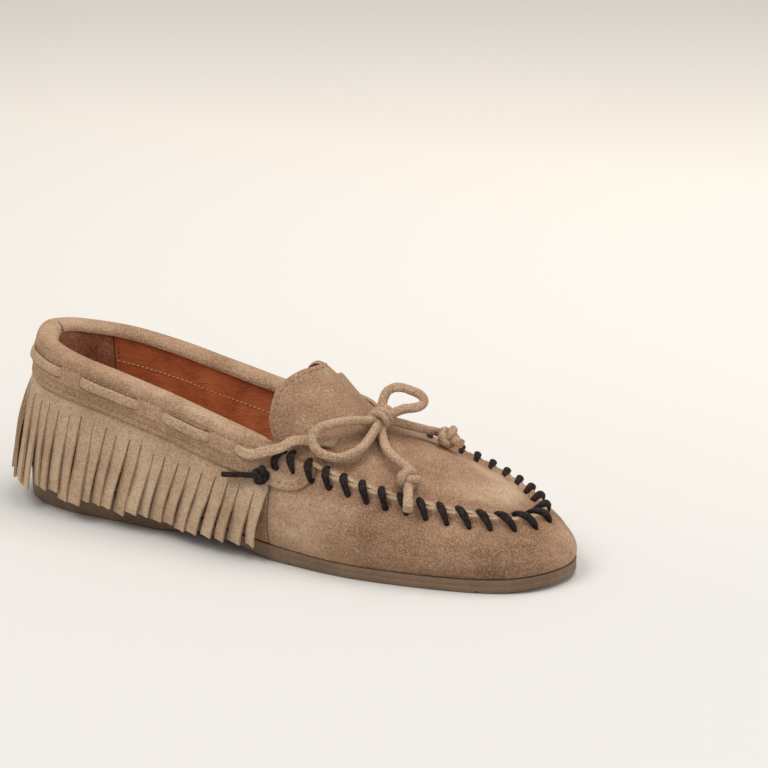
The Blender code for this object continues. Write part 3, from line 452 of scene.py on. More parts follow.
def lace_path():
    near = [edge + LACE_DIVE * k for edge in LACE_SLITS for k in (-1, -.5, 0, .5, 1)]
    half = sorted(near + [s for s in STATIONS if min(abs(s - n) for n in near) > .006])
    rear = [-s for s in half[::-1]] + [0] + half
    path = [wall(p, LACE_W - 0.7 * smoothstep(.42, .47, abs(p)), lace_depth(abs(p))) for p in rear]
    ups = [wall_frame(p, LACE_W)[1] for p in rear]
    front, front_up = lace_front(1)
    back, back_up = lace_front(-1)
    path = back[::-1] + path + front
    ups = back_up[::-1] + ups + front_up
    return path, ups


# The bow: its knot, loops and tails.
KNOT = np.array([173.6, -3.4, 56.3])
LOOP_LATERAL = [(170.0, -10.5, 57.0), (164.4, -19.3, 58.3), (157.0, -28.2, 56.8), (156.2, -31.8, 52.3),
                (160.2, -32.0, 47.9), (168.0, -30.3, 46.6), (173.5, -23.7, 48.7), (174.6, -14.8, 52.2)]
LOOP_MEDIAL = [(172.4, 0.8, 62.6), (173.9, 3.0, 66.6), (177.7, 5.0, 67.9), (182.5, 6.8, 66.7),
               (186.7, 7.9, 64.7), (188.2, 7.3, 62.1), (186.4, 4.6, 60.5), (181.8, 0.6, 60.2)]
TAIL_LATERAL = [(176.6, -8.6, 50.6), (182.4, -15.8, 47.6), (189.6, -19.8, 45.0), (195.4, -22.6, 43.2)]
TAIL_MEDIAL = [(178.6, 2.6, 53.4), (184.4, 9.6, 49.8), (191.0, 17.6, 46.0)]
TAIL_TIP_LATERAL = (203.2, -40.0, 33.2)
TAIL_TIP_MEDIAL = (202.6, 13.4, 44.2)


def toward(start, end, distance):
    """The point that far from start on the way to end."""
    way = np.array(end, float) - start
    return start + way / np.linalg.norm(way) * distance


def steady_ups(path):
    """A direction across the path at each point that turns as little as it can."""
    path = np.array(path)
    up = np.array([0.0, 0.0, 1.0])
    ups = []
    for i in range(len(path)):
        along = unit(path[min(i + 1, len(path) - 1)] - path[max(i - 1, 0)])
        up = unit(up - along * np.dot(up, along))
        ups.append(up)
    return ups


SOLE_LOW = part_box("outsole")[0]
SHIFT = np.array([SOLE_LOW[k] / TO_METRES - OUTLINE[:, k].min() for k in (0, 1)] + [0.0])


def in_frame(point):
    """A point of the shape functions, in the row frame."""
    return (np.asarray(point, float) + SHIFT) * TO_METRES


def bumps(point, size, seed=0.0):
    """Smooth noise from -1 to 1, with hills about that many millimetres across."""
    x, y, z = (float(c) / size for c in point)
    return noise.noise(Vector((x + seed, y + seed * 1.7, z - seed)))


# ---------------------------------------------------------------- materials
def linear(red, green, blue):
    """A colour given as screen values from 0 to 255."""
    return tuple(((c / 255 + 0.055) / 1.055) ** 2.4 if c > 10 else c / 3294
                 for c in (red, green, blue)) + (1.0,)


class Recipe:
    """A Principled material built from noise in the object's own space."""

    def __init__(self, name, colour, roughness, **uniform):
        self.material = bpy.data.materials.new(name)
        self.material.use_nodes = True
        self.tree = self.material.node_tree
        self.shader = self.tree.nodes["Principled BSDF"]
        self.shader.inputs["Base Color"].default_value = colour
        self.shader.inputs["Roughness"].default_value = roughness
        for key, value in uniform.items():
            self.shader.inputs[key.replace("_", " ")].default_value = value
        self.place = self.node("ShaderNodeTexCoord").outputs["Object"]
        self.normal = None

    def node(self, kind, **settings):
        made = self.tree.nodes.new(kind)
        for key, value in settings.items():
            setattr(made, key, value)
        return made

    def link(self, source, target):
        if isinstance(source, (int, float, tuple)):
            target.default_value = source
        else:
            self.tree.links.new(source, target)

    def noise(self, size, detail=2.0, roughness=0.5, distortion=0.0, stretch=None):
        """Noise with features about size millimetres across, stretched along the given axes."""
        place = self.place
        if stretch:
            mapping = self.node("ShaderNodeMapping")
            mapping.inputs["Scale"].default_value = tuple(1 / s for s in stretch)
            self.link(place, mapping.inputs["Vector"])
            place = mapping.outputs["Vector"]
        made = self.node("ShaderNodeTexNoise")
        self.link(place, made.inputs["Vector"])
        made.inputs["Scale"].default_value = 1 / (size * TO_METRES)
        made.inputs["Detail"].default_value = detail
        made.inputs["Roughness"].default_value = roughness
        made.inputs["Distortion"].default_value = distortion
        return made.outputs["Fac"]

    def cells(self, size, feature="F1", output="Distance"):
        made = self.node("ShaderNodeTexVoronoi", feature=feature)
        self.link(self.place, made.inputs["Vector"])
        made.inputs["Scale"].default_value = 1 / (size * TO_METRES)
        return made.outputs[output]

    def span(self, value, low, high, new_low=0.0, new_high=1.0):
        made = self.node("ShaderNodeMapRange", clamp=True)
        for key, number in (("From Min", low), ("From Max", high), ("To Min", new_low), ("To Max", new_high)):
            made.inputs[key].default_value = number
        self.link(value, made.inputs["Value"])
        return made.outputs["Result"]

    def maths(self, operation, a, b):
        made = self.node("ShaderNodeMath", operation=operation)
        self.link(a, made.inputs[0])
        self.link(b, made.inputs[1])
        return made.outputs[0]

    def mix(self, amount, a, b, blend="MIX"):
        made = self.node("ShaderNodeMix", data_type="RGBA", blend_type=blend)
        self.link(amount, made.inputs["Factor"])
        self.link(a, made.inputs["A"])
        self.link(b, made.inputs["B"])
        return next(out for out in made.outputs if out.type == "RGBA")

    def value_of(self, name):
        """A number stored on the mesh, 0 where there is none."""
        return self.node("ShaderNodeAttribute", attribute_name=name).outputs["Fac"]

    def bump(self, height, distance, strength=1.0):
        made = self.node("ShaderNodeBump")
        made.inputs["Strength"].default_value = strength
        made.inputs["Distance"].default_value = distance * TO_METRES
        self.link(height, made.inputs["Height"])
        if self.normal is not None:
            self.link(self.normal, made.inputs["Normal"])
        self.normal = made.outputs["Normal"]

    def finish(self, colour=None, roughness=None):
        if colour is not None:
            self.link(colour, self.shader.inputs["Base Color"])
        if roughness is not None:
            self.link(roughness, self.shader.inputs["Roughness"])
        if self.normal is not None:
            self.link(self.normal, self.shader.inputs["Normal"])
        return self.material


def suede(name, dark, middle, light, grain=0.5, patchy=0.8):
    """Brushed suede: soft patches where the nap lies differently, rubbed marks, a fine fibrous grain, and the
    painted shade and highlight that a piece stores on its mesh.
    """
    r = Recipe(name, middle, 0.95, Specular_IOR_Level=0.12, Sheen_Weight=0.14, Sheen_Roughness=0.5)
    r.shader.inputs["Sheen Tint"].default_value = light
    patches = r.noise(30, detail=2, roughness=0.5, distortion=0.2)
    rubbed = r.noise(8, detail=5, roughness=0.68, distortion=0.4, stretch=(1.5, 1.0, 1.0))
    # The tone stored on the mesh adds painted shade and painted highlight where a piece has them, on top of
    # the random patches and rubbed marks.
    shade = r.maths("ADD", r.value_of("shade_and_tone"), r.span(patches, .3, .7, -.55 * patchy, .55 * patchy))
    shade = r.maths("ADD", shade, r.span(rubbed, .3, .7, -.45 * patchy, .45 * patchy))
    colour = r.mix(r.span(shade, -1.0, .0, 1.0, 0), middle, dark)
    colour = r.mix(r.span(shade, .0, 1.0, 0, 1.0), colour, light)
    brushed = r.noise(0.8, detail=3, roughness=0.8, distortion=0.2, stretch=(1.3, 1.0, 1.2))
    fibres = r.noise(0.42, detail=2, roughness=0.8, stretch=(1.4, 1.0, 1.2))
    colour = r.mix(r.span(brushed, .36, .5, .42, 0), colour, dark)
    colour = r.mix(r.span(brushed, .51, .64, 0, .38), colour, light)
    colour = r.mix(r.span(fibres, .32, .5, grain, 0), colour, dark)
    colour = r.mix(r.span(fibres, .5, .68, 0, grain), colour, light)
    r.bump(rubbed, 0.9, 0.25)
    r.bump(brushed, 0.6, 0.9)
    r.bump(fibres, 0.3, 0.9)
    return r.finish(colour, r.span(fibres, .3, .7, .99, .9))


SUEDE_LOOK = suede("suede look", linear(113, 79, 55), linear(164, 129, 102), linear(208, 178, 150))
COLLAR_LOOK = suede("collar suede", linear(117, 83, 58), linear(172, 137, 109), linear(214, 186, 157),
                    patchy=.7)
FRINGE_LOOK = suede("fringe suede", linear(126, 94, 69), linear(185, 154, 125), linear(222, 196, 167),
                    patchy=.6)
LACE_LOOK = suede("lace suede", linear(122, 92, 67), linear(184, 151, 123), linear(224, 199, 171),
                  grain=.7, patchy=.4)
RAW_LOOK = suede("cut suede edge", linear(140, 110, 82), linear(190, 162, 132), linear(222, 202, 174),
                 patchy=.3)
GRIP_LOOK = suede("heel grip suede", linear(118, 70, 48), linear(174, 118, 88), linear(214, 164, 130),
                  grain=.8, patchy=1.6)


def smooth_leather(name, dark, middle, light, roughness):
    """Finished lining leather: pores, fine creases and a slightly uneven dye."""
    r = Recipe(name, middle, roughness, Specular_IOR_Level=0.42)
    dye = r.noise(24, detail=4, roughness=0.6, distortion=1.0)
    creases = r.noise(3.4, detail=5, roughness=0.6, distortion=1.6, stretch=(3.5, 1.0, 0.8))
    pores = r.cells(0.55)
    colour = r.mix(r.span(dye, .35, .65), dark, middle)
    colour = r.mix(r.span(creases, .46, .74, 0, .4), colour, light)
    colour = r.mix(r.span(pores, 0, .25, .35, 0), colour, dark)
    r.bump(creases, 0.7, 0.5)
    r.bump(pores, 0.08, 0.6)
    return r.finish(colour, r.span(dye, .3, .7, roughness - .07, roughness + .08))


LINING_LOOK = smooth_leather("lining leather", linear(166, 90, 52), linear(200, 116, 72),
                             linear(220, 146, 100), .5)


def thong_leather():
    """Waxed leather thong, nearly black, scuffed to brown on its highest places."""
    r = Recipe("thong leather", linear(24, 17, 18), .7, Specular_IOR_Level=0.16)
    scuffs = r.noise(1.3, detail=4, roughness=.75)
    grain = r.noise(0.45, detail=2)
    colour = r.mix(r.span(scuffs, .44, .7, 0, .6), linear(20, 14, 15), linear(84, 66, 62))
    r.bump(scuffs, 0.5, 0.9)
    r.bump(grain, 0.2, 0.7)
    return r.finish(colour, r.span(scuffs, .3, .7, .55, .8))


def sole_rubber():
    """Moulded brown rubber with a faint bloom, specks of dust and small scuffs."""
    r = Recipe("sole rubber", linear(118, 97, 80), .55, Specular_IOR_Level=0.4)
    bloom = r.noise(34, detail=4, roughness=.55, distortion=.6)
    cloth = r.noise(2.2, detail=5, roughness=.65)
    specks = r.cells(3.6)
    colour = r.mix(r.span(bloom, .35, .66), linear(100, 76, 58), linear(124, 99, 78))
    colour = r.mix(r.span(cloth, .45, .8, 0, .35), colour, linear(150, 127, 105))
    colour = r.mix(r.span(specks, 0, .06, .55, 0), colour, linear(190, 174, 152))
    r.bump(cloth, 0.12, 0.5)
    return r.finish(colour, r.span(cloth, .3, .7, .48, .66))


def thread(name, dark, light):
    """Twisted sewing thread."""
    r = Recipe(name, light, .7, Specular_IOR_Level=0.25, Sheen_Weight=.15)
    twist = r.node("ShaderNodeTexWave", bands_direction="DIAGONAL")
    r.link(r.place, twist.inputs["Vector"])
    twist.inputs["Scale"].default_value = 620
    twist.inputs["Distortion"].default_value = 1.0
    r.bump(twist.outputs["Fac"], 0.1, 0.6)
    return r.finish(r.mix(twist.outputs["Fac"], dark, light))


def pressed_board(name, dark, light, size):
    """Leatherboard or felt: pressed flecks and fibres."""
    r = Recipe(name, light, .9, Specular_IOR_Level=0.2)
    flecks = r.noise(size, detail=5, roughness=.7, distortion=.5)
    r.bump(flecks, 0.3, 0.6)
    return r.finish(r.mix(r.span(flecks, .35, .68), dark, light))


THONG_LOOK = thong_leather()
RUBBER_LOOK = sole_rubber()
TAN_THREAD = thread("tan thread", linear(126, 98, 70), linear(170, 140, 108))
CREAM_THREAD = thread("cream thread", linear(176, 140, 100), linear(232, 206, 166))
GRIP_THREAD = thread("rust thread", linear(112, 62, 40), linear(150, 92, 62))
BOARD_LOOK = pressed_board("leatherboard", linear(120, 92, 62), linear(168, 138, 100), 1.6)
FELT_LOOK = pressed_board("impregnated felt", linear(150, 138, 116), linear(196, 184, 160), 0.9)


# ---------------------------------------------------------------- meshes
def put(name, data):
    """A new object in the scene."""
    made = bpy.data.objects.new(name, data)
    bpy.context.scene.collection.objects.link(made)
    return made


def build(name, verts, faces, looks, face_looks=None, shade_and_tone=None, replaces=(), sharp=50, slot="suede"):
    """A closed mesh piece that rides with the shoe. looks are its materials, face_looks each face's."""
    name = name.replace(" ", "_")
    mesh = bpy.data.meshes.new(name)
    mesh.from_pydata(in_frame(verts).tolist(), [], [tuple(f) for f in faces])
    for look in looks:
        mesh.materials.append(look)
    if face_looks is not None:
        mesh.polygons.foreach_set("material_index", np.array(face_looks, dtype=np.int32))
    if shade_and_tone is not None:
        stored = mesh.attributes.new("shade_and_tone", "FLOAT", "POINT").data
        stored.foreach_set("value", np.array(shade_and_tone, dtype=np.float32))
    bm = bmesh.new()
    bm.from_mesh(mesh)
    bmesh.ops.remove_doubles(bm, verts=bm.verts, dist=1e-6)
    bmesh.ops.recalc_face_normals(bm, faces=bm.faces)
    bm.to_mesh(mesh)
    bm.free()
    mesh.shade_smooth()
    mesh.set_sharp_from_angle(angle=math.radians(sharp))
    piece = put(name, mesh)
    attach(piece, "root")
    if replaces:
        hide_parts(*replaces)
    return piece


def sheet(name, outer, inner, looks, cells=None, raw=None, shade_and_tone=None, **more):
    """A sheet of leather between two grids of points. cells says which squares of the grid it fills, and
    raw which of its outer squares are cut edge. Its rim always is: looks are (face, cut edge)."""
    outer, inner = np.array(outer), np.array(inner)
    rows, cols = outer.shape[:2]
    cells = np.ones((rows - 1, cols - 1), bool) if cells is None else np.array(cells, bool)
    raw = np.zeros((rows - 1, cols - 1), bool) if raw is None else np.array(raw, bool)
    verts = np.vstack([outer.reshape(-1, 3), inner.reshape(-1, 3)])
    shades_and_tones = None if shade_and_tone is None else np.concatenate([np.array(shade_and_tone).ravel()] * 2)
    under = rows * cols
    faces, face_looks = [], []
    full = np.zeros((rows + 1, cols + 1), bool)
    full[1:-1, 1:-1] = cells
    for r in range(rows - 1):
        for c in range(cols - 1):
            if not cells[r, c]:
                continue
            a, b = r * cols + c, r * cols + c + 1
            e, f = a + cols, b + cols
            faces += [(a, b, f, e), (a + under, e + under, f + under, b + under)]
            face_looks += [int(raw[r, c]), 0]
            for (dr, dc), (i, j) in (((0, 1), (a, b)), ((2, 1), (f, e)), ((1, 0), (e, a)), ((1, 2), (b, f))):
                if not full[r + dr, c + dc]:
                    faces.append((i, i + under, j + under, j))
                    face_looks.append(1)
    used = sorted({i for face in faces for i in face})
    index = dict(zip(used, range(len(used))))
    return build(name, verts[used], [[index[i] for i in face] for face in faces], looks, face_looks,
                 None if shades_and_tones is None else shades_and_tones[used], **more)


def skin(name, sections, looks, closed=False, ends=None, **more):
    """A solid skinned over a row of rings. ends is the number of the look on the two caps."""
    sections = np.array(sections)
    count, size = sections.shape[:2]
    faces, face_looks = [], []
    for i in range(count if closed else count - 1):
        n = (i + 1) % count
        for j in range(size):
            k = (j + 1) % size
            faces.append([i * size + j, i * size + k, n * size + k, n * size + j])
            face_looks.append(0)
    if not closed:
        faces += [list(range(size))[::-1], list(range((count - 1) * size, count * size))]
        face_looks += [ends or 0] * 2
    return build(name, sections.reshape(-1, 3), faces, looks, face_looks, **more)


def smooth_path(points, spacing, steps=12):
    """A smooth curve through the points, evenly spaced."""
    return evenly(catmull_rom(points, closed=False, steps=steps), spacing)


def rings(path, ups, half_width, half_thick, sides=16, square=2.0, rough=0.0, size=1.2, seed=0.0):
    """Rings along a path for a cord or strip. square above 2 makes the section boxier. half_width and
    half_thick may be lists along the path."""
    path = np.array(path, float)
    widths = np.broadcast_to(half_width, len(path))
    thicks = np.broadcast_to(half_thick, len(path))
    made = []
    for i, point in enumerate(path):
        along = unit(path[min(i + 1, len(path) - 1)] - path[max(i - 1, 0)])
        normal = unit(ups[i] - along * np.dot(ups[i], along))
        across = np.cross(along, normal)
        ring = []
        for k in range(sides):
            a = 2 * math.pi * (k + 0.5) / sides
            c, s = math.cos(a), math.sin(a)
            reach = (abs(c) ** square + abs(s) ** square) ** (-1 / square)
            place = point + across * widths[i] * c * reach + normal * thicks[i] * s * reach
            if rough:
                place = place + (place - point) * rough * bumps(place, size, seed)
            ring.append(place)
        made.append(ring)
    return made


def thread_row(name, path, ups, look, length=2.4, gap=0.7, radius=0.3, sink=0.12, **more):
    """A row of sewn stitches along a path on a surface."""
    path, ups = np.array(path, float), np.array(ups, float)
    along = lengths_along(path)

    def at(s):
        point = np.array([np.interp(s, along, path[:, k]) for k in range(3)])
        up = np.array([np.interp(s, along, ups[:, k]) for k in range(3)])
        return point, up / np.linalg.norm(up)

    verts, faces = [], []
    for k in range(int(along[-1] / (length + gap))):
        start = k * (length + gap)
        points, tops = zip(*[at(start + length * j / 4) for j in range(5)])
        rise = [-radius * .9, radius * .35 - sink, radius * .6 - sink, radius * .35 - sink, -radius * .9]
        line = [p + t * h for p, t, h in zip(points, tops, rise)]
        widths = radius * np.array([.7, 1, 1, 1, .7])
        made = rings(line, tops, widths, widths, sides=6)
        base = len(verts)
        verts += [v for ring in made for v in ring]
        for i in range(4):
            for j in range(6):
                n = (j + 1) % 6
                faces.append([base + i * 6 + j, base + i * 6 + n, base + i * 6 + 6 + n, base + i * 6 + 6 + j])
        faces += [[base + j for j in range(6)][::-1], [base + 24 + j for j in range(6)]]
    return build(name, verts, faces, [look], sharp=180, **more)


# ---------------------------------------------------------------- the seam's stitches
SEAM_PLACES = np.linspace(STITCH_START_T, 2 - STITCH_START_T, 401)
SEAM_ALONG = lengths_along(np.array([wall(p, 0, 0) for p in SEAM_PLACES]))
PITCH = SEAM_ALONG[-1] / STITCHES
# How far a stitch runs on along the seam, as a share of the pitch.
ADVANCE = [(.53, .3), (.6, .42), (.72, .5), (.82, .7), (.9, .85), (1, .8)]


def turn_at(p):
    """How many stitches along the seam a place is."""
    p = p % 2
    return float(np.interp(p, SEAM_PLACES, SEAM_ALONG)) / PITCH


def place_at(turn):
    return float(np.interp(turn * PITCH, SEAM_ALONG, SEAM_PLACES))


def pinch(p, on_vamp):
    """1 where the thong enters the leather, and -1 midway between two stitches."""
    advance = read(ADVANCE, side_of(p)[1]) / 2
    return math.cos(2 * math.pi * (turn_at(p) - .5 - (advance if on_vamp else -advance)))


def ridge(p, along_face, on_vamp):
    """How far the leather stands up beside the seam: a lip pinched in by each stitch, and puckers."""
    sewn = smoothstep(TAB_END_T + .002, TAB_END_T + .02, side_of(p)[1]) if on_vamp else 1.0
    pinched = pinch(p, on_vamp)
    lip = LIP * (1 - smoothstep(1.25, 3.3, along_face)) * (0.93 - .13 * pinched)
    pucker = -.34 * pinched * math.exp(-((along_face - 5.2) / 3.0) ** 2)
    gather = -.16 * pinched * math.exp(-max(along_face - 4, 0) / 7)
    fade = smoothstep(TAB_END_T - .03, TAB_END_T + .03, side_of(p)[1])
    return lip * sewn + (pucker + gather) * fade * smoothstep(.5, 2.5, along_face)


# ---------------------------------------------------------------- the uppers
def spread(start, end, spacing, along_seam=0.0):
    """Places round the shoe, evenly spaced in millimetres along the sole's edge, or partly the seam."""
    coarse = np.linspace(start, end, 241)
    low = lengths_along(np.array([outline(p) for p in coarse]))
    high = lengths_along(np.array([wall(p, 0, 0) for p in coarse]))
    along = low * (1 - along_seam) + high * along_seam
    count = max(3, round(along[-1] / spacing) + 1)
    return [round(float(v), 6) for v in np.interp(np.linspace(0, along[-1], count), along, coarse)]


def hand(point, size, amount, seed=0.0):
    """The slight unevenness of leather that was pulled by hand."""
    return amount * bumps(point, size, seed)


def vamp_light_and_shade(p, w):
    """Painted light and shade on the vamp: painted shade under the seam's ridge and low along its side,
    lighter toward its back end, and a painted highlight low round the toe.
    """
    t = side_of(p)[1]
    low = w / wall_length(p)
    along_side = smoothstep(.6, .68, t) * (1 - smoothstep(.9, .98, t))
    shade_and_tone = -.35 * math.exp(-((w - 6) / 5) ** 2) - .62 * smoothstep(.22, .6, low) * along_side
    shade_and_tone += .22 * smoothstep(.66, .56, t)
    return shade_and_tone + .45 * smoothstep(.93, 1, t) * smoothstep(.15, .6, low)


def make_vamp():
    places = spread(SEAM_T, 2 - SEAM_T, 1.15, along_seam=.5)
    near = [.06, .5, .95, 1.3, 1.65, 2.0, 2.4, 2.9, 3.5, 4.2, 5.0, 6.0, 7.0]
    shares = np.linspace(0, 1, 22)[1:]
    outer, inner, shades_and_tones, raw = [], [], [], []
    for r in range(len(near) + len(shares)):
        out_row, in_row, light_and_shade_row = [], [], []
        for p in places:
            w = near[r] if r < len(near) else near[-1] + (wall_length(p) - near[-1]) * shares[r - len(near)]
            base = wall(p, w, 0)
            free = smoothstep(2, 8, w) * smoothstep(0, 5, wall_length(p) - w)
            rise = ridge(p, w, True) + hand(base, 26, .35) * free
            out_row.append(wall(p, w, rise))
            in_row.append(wall(p, w, -SUEDE + min(rise, 0)))
            # The vamp's painted shade and highlight, kept on the mesh for the suede's colour.
            light_and_shade_row.append(vamp_light_and_shade(p, w))
        outer.append(out_row)
        inner.append(in_row)
        shades_and_tones.append(light_and_shade_row)
        raw.append([near[r] < 1.2 if r < len(near) else False] * (len(places) - 1))
    for depth in (3.0, LASTING_MARGIN):
        outer.append([under_foot(p, depth, 0.0) for p in places])
        inner.append([under_foot(p, depth, SUEDE) for p in places])
        shades_and_tones.append([0.0] * len(places))
        raw.append([False] * (len(places) - 1))
    is_lip = np.array([[side_of(p)[1] > TAB_END_T + .006 for p in places[:-1]]] * (len(outer) - 1))
    sheet("vamp leather", outer, inner, (SUEDE_LOOK, RAW_LOOK), raw=np.array(raw[:-1]) & is_lip,
          shade_and_tone=shades_and_tones, replaces=["vamp"])


def under_foot(p, inset, lift):
    """A point of the lasting margin, turned in under the foot."""
    x, y = outline(p) - outward(p) * (BASE_INSET + inset)
    return (x, y, read(SOLE_TOP, x) + GAP + lift)


def make_quarters():
    def swell(p, s):
        return hand(wall(p, wall_length(p) * s, 0), 30, .3) * (1 - s) * s * 4

    shares = np.linspace(0, 1, 22)
    for side, name in SIDES:
        places = spread(HEEL_EDGE * side, (SEAM_T - SHEET_EDGE) * side, 2.4)
        outer = [[wall(p, wall_length(p) * s, swell(p, s)) for p in places] for s in shares]
        inner = [[wall(p, wall_length(p) * s, -SUEDE) for p in places] for s in shares]
        outer.append([under_foot(p, LASTING_MARGIN, 0.0) for p in places])
        inner.append([under_foot(p, LASTING_MARGIN, SUEDE) for p in places])
        sheet("quarter " + name, outer, inner, (SUEDE_LOOK, RAW_LOOK),
              shade_and_tone=np.full((len(outer), len(places)), -.18), replaces=["quarter_" + name])


def make_linings():
    """The linings inside, with soft creases, the heel grip's seam and a sewn row below the topline."""
    def inner_depth(p, w, creased):
        crease = creased * max(0, bumps(wall(p, w * 2.2, 0), 9)) * smoothstep(0, 9, w - 13)
        return LINING_IN - crease + .25 * bumps(wall(p, w, 0), 22)

    def lining(name, start, end, node, look=LINING_LOOK, slot="lining", top=.3, creased=0.0):
        places = spread(start, end, 2.0)
        outer, inner = [], []
        for s in np.linspace(0, 1, 30):
            here = [(p, top + (wall_length(p) - LINING_DROP - top) * s) for p in places]
            outer.append([wall(p, w, LINING_OUT) for p, w in here])
            inner.append([wall(p, w, inner_depth(p, w, creased)) for p, w in here])
        sheet(name, outer, inner, (look, look), slot=slot, replaces=[node])

    lining("heel grip", -GRIP_T, GRIP_T, "heel_grip_lining", GRIP_LOOK, "grip")
    for side, name in SIDES:
        lining("quarter lining " + name, (GRIP_T + SHEET_EDGE) * side, (SEAM_T - SHEET_EDGE) * side,
               "quarter_lining_" + name, creased=.5)
        below = [(p, 13.2) for p in spread((GRIP_T + .005) * side, (SEAM_T - .012) * side, 2.0)]
        down = [((GRIP_T + .009) * side, w) for w in np.linspace(6, 46, 24)]
        for kind, row, look, radius in (("lining", below, CREAM_THREAD, .24),
                                        ("grip", down, GRIP_THREAD, .22)):
            thread_row(f"{kind} stitches {name}", [wall(p, w, LINING_IN - .12) for p, w in row],
                       [-wall_frame(p, w)[1] for p, w in row], look, slot="lining", length=1.5,
                       gap=.75, radius=radius)
    lining("vamp lining", SEAM_T, 2 - SEAM_T, "vamp_lining", top=8.5)


# ---------------------------------------------------------------- the plug and its tongue
def make_plug():
    toe_run = np.linalg.norm(plug_middle(1, .5) - plug_middle(.9, .5)) / .1
    margins = [.06, .5, .95, 1.3, 1.65, 2.05, 2.5, 3.0, 3.6, 4.4, 5.4, 6.6]
    us = list(np.linspace(0, 1 - 7.8 / toe_run, 92)) + [1 - m / toe_run for m in margins[::-1]]
    middle = np.linspace(0, 1, 46)[1:-1]
    points, deep, shares = [], [], []
    for u in us:
        width = float(np.linalg.norm(plug_middle(min(u, .97), 0) - plug_middle(min(u, .97), 1)))
        rim = [m / width for m in margins]
        row = rim + list(rim[-1] + (1 - 2 * rim[-1]) * middle) + [1 - m for m in rim[::-1]]
        shares.append(row)
        points.append([plug_middle(u, s) for s in row])
        deep.append([min(s * width, (1 - s) * width, (1 - u) * toe_run) for s in row])
    points, deep = np.array(points), np.array(deep)
    normals = np.cross(np.gradient(points, axis=0), np.gradient(points, axis=1))
    normals /= np.linalg.norm(normals, axis=2)[:, :, None]
    outer, inner, shades_and_tones, lining_rows = [], [], [], []
    for r, u in enumerate(us):
        out_row, in_row, light_and_shade_row, lining_row = [], [], [], []
        sewn = smoothstep(LIP_FROM - .035, LIP_FROM + .01, u)
        free = smoothstep(.10, .2, u)
        for c, s in enumerate(shares[r]):
            beside, toe = plug_neighbours(u, s)
            by_toe = (1 - u) * toe_run < min(s, 1 - s) * 60
            normal = plug_normal(normals[r, c], u, s)
            place, depth = points[r, c], deep[r, c]
            rise = ridge(toe if by_toe else beside, depth, False) * sewn
            rise += hand(place, 24, .4, seed=3.0) * smoothstep(2, 9, depth) * free
            rise += hand(place, 9, .12, seed=5.0) * smoothstep(4, 9, depth)
            out_row.append(place + normal * rise)
            in_row.append(place + normal * (-SUEDE + min(rise, 0)))
            if .02 < u < .17 and 8 <= c < len(shares[r]) - 8:
                lining_row.append([place + normal * (-SUEDE - GAP - k) for k in (0, .9)])
            # Painted light and shade: a painted highlight on the plug's top toward the toe, painted shade
            # just inside the seam's ridge, and a painted shadow across it under the bow. The tongue is a
            # little darker.
            shade_and_tone = .5 * smoothstep(.45, .85, u) * smoothstep(4, 16, depth)
            shade_and_tone -= .3 * math.exp(-(depth - 5) ** 2 / 16) + .1 * math.exp(-((u - .33) / .12) ** 2)
            light_and_shade_row.append(shade_and_tone * sewn - .1 * (1 - free))
        outer.append(out_row)
        inner.append(in_row)
        shades_and_tones.append(light_and_shade_row)
        if lining_row:
            lining_rows.append(lining_row)
    lining = np.array(lining_rows)
    sheet("tongue lining leather", lining[:, :, 0], lining[:, :, 1], (LINING_LOOK, LINING_LOOK),
          slot="lining", replaces=["tongue_lining"])
    raw = (deep[:-1, :-1] < 1.2) & (np.array(us[:-1]) > LIP_FROM - .01)[:, None]
    sheet("plug leather", outer, inner, (SUEDE_LOOK, RAW_LOOK), raw=raw, shade_and_tone=shades_and_tones, replaces=["plug"])
    across = np.linspace(.05, .95, 60)
    row_u = .017
    thread_row("tongue stitches", [plug(row_u, s, .08) for s in across],
               [plug(row_u, s, 1.0) - plug(row_u, s, 0.0) for s in across], TAN_THREAD, length=2.1, gap=.8)


# ---------------------------------------------------------------- the collar
def near_lace(p, w):
    """(how far inside a run where the lace shows, how close to one of its slits)."""
    t = side_of(p)[1]
    shown = lace_shown(t, .006) * math.exp(-((w - LACE_W) / 2.2) ** 4)
    slit = max(math.exp(-((t - edge) / .0042) ** 2) for edge in LACE_SLITS)
    return shown, slit * math.exp(-((w - LACE_W) / 2.9) ** 6)


def collar_ring(p):
    """The collar's section, rounded off, with its sewn rows drawn in and the lace's channel and slits."""
    corners = collar_section(p)
    face = np.linspace(corners[3][1], corners[4][1], 9)[1:-1]
    corners = corners[:4] + [(corners[3][0], float(w)) for w in face] + corners[4:]
    curve = catmull_rom(corners, closed=True, steps=4)
    t = side_of(p)[1]
    drop = corners[0][1]
    whole = 1 - smoothstep(.47, .52, t)
    ring = []
    for d, w in curve:
        facing = smoothstep(.9, 1.6, d) * smoothstep(.2, 1.2, w)
        if facing > 0:
            shown, slit = near_lace(p, w)
            sewn_low = math.exp(-((w - (drop - 2.1)) / .8) ** 2)
            sewn_high = math.exp(-((w - 2.7) / .8) ** 2) * whole
            between = math.exp(-((w - LACE_W - 1) / 3.2) ** 4) * whole
            place = wall(p, w, d)
            d += facing * (.28 * between - .34 * sewn_low - .3 * sewn_high - .9 * shown
                           - 1.5 * slit * whole + .28 * bumps(place, 11, 8.0) * whole
                           + .12 * bumps(place, 4.5, 2.0))
        ring.append(wall(p, float(w), float(d)))
    return ring


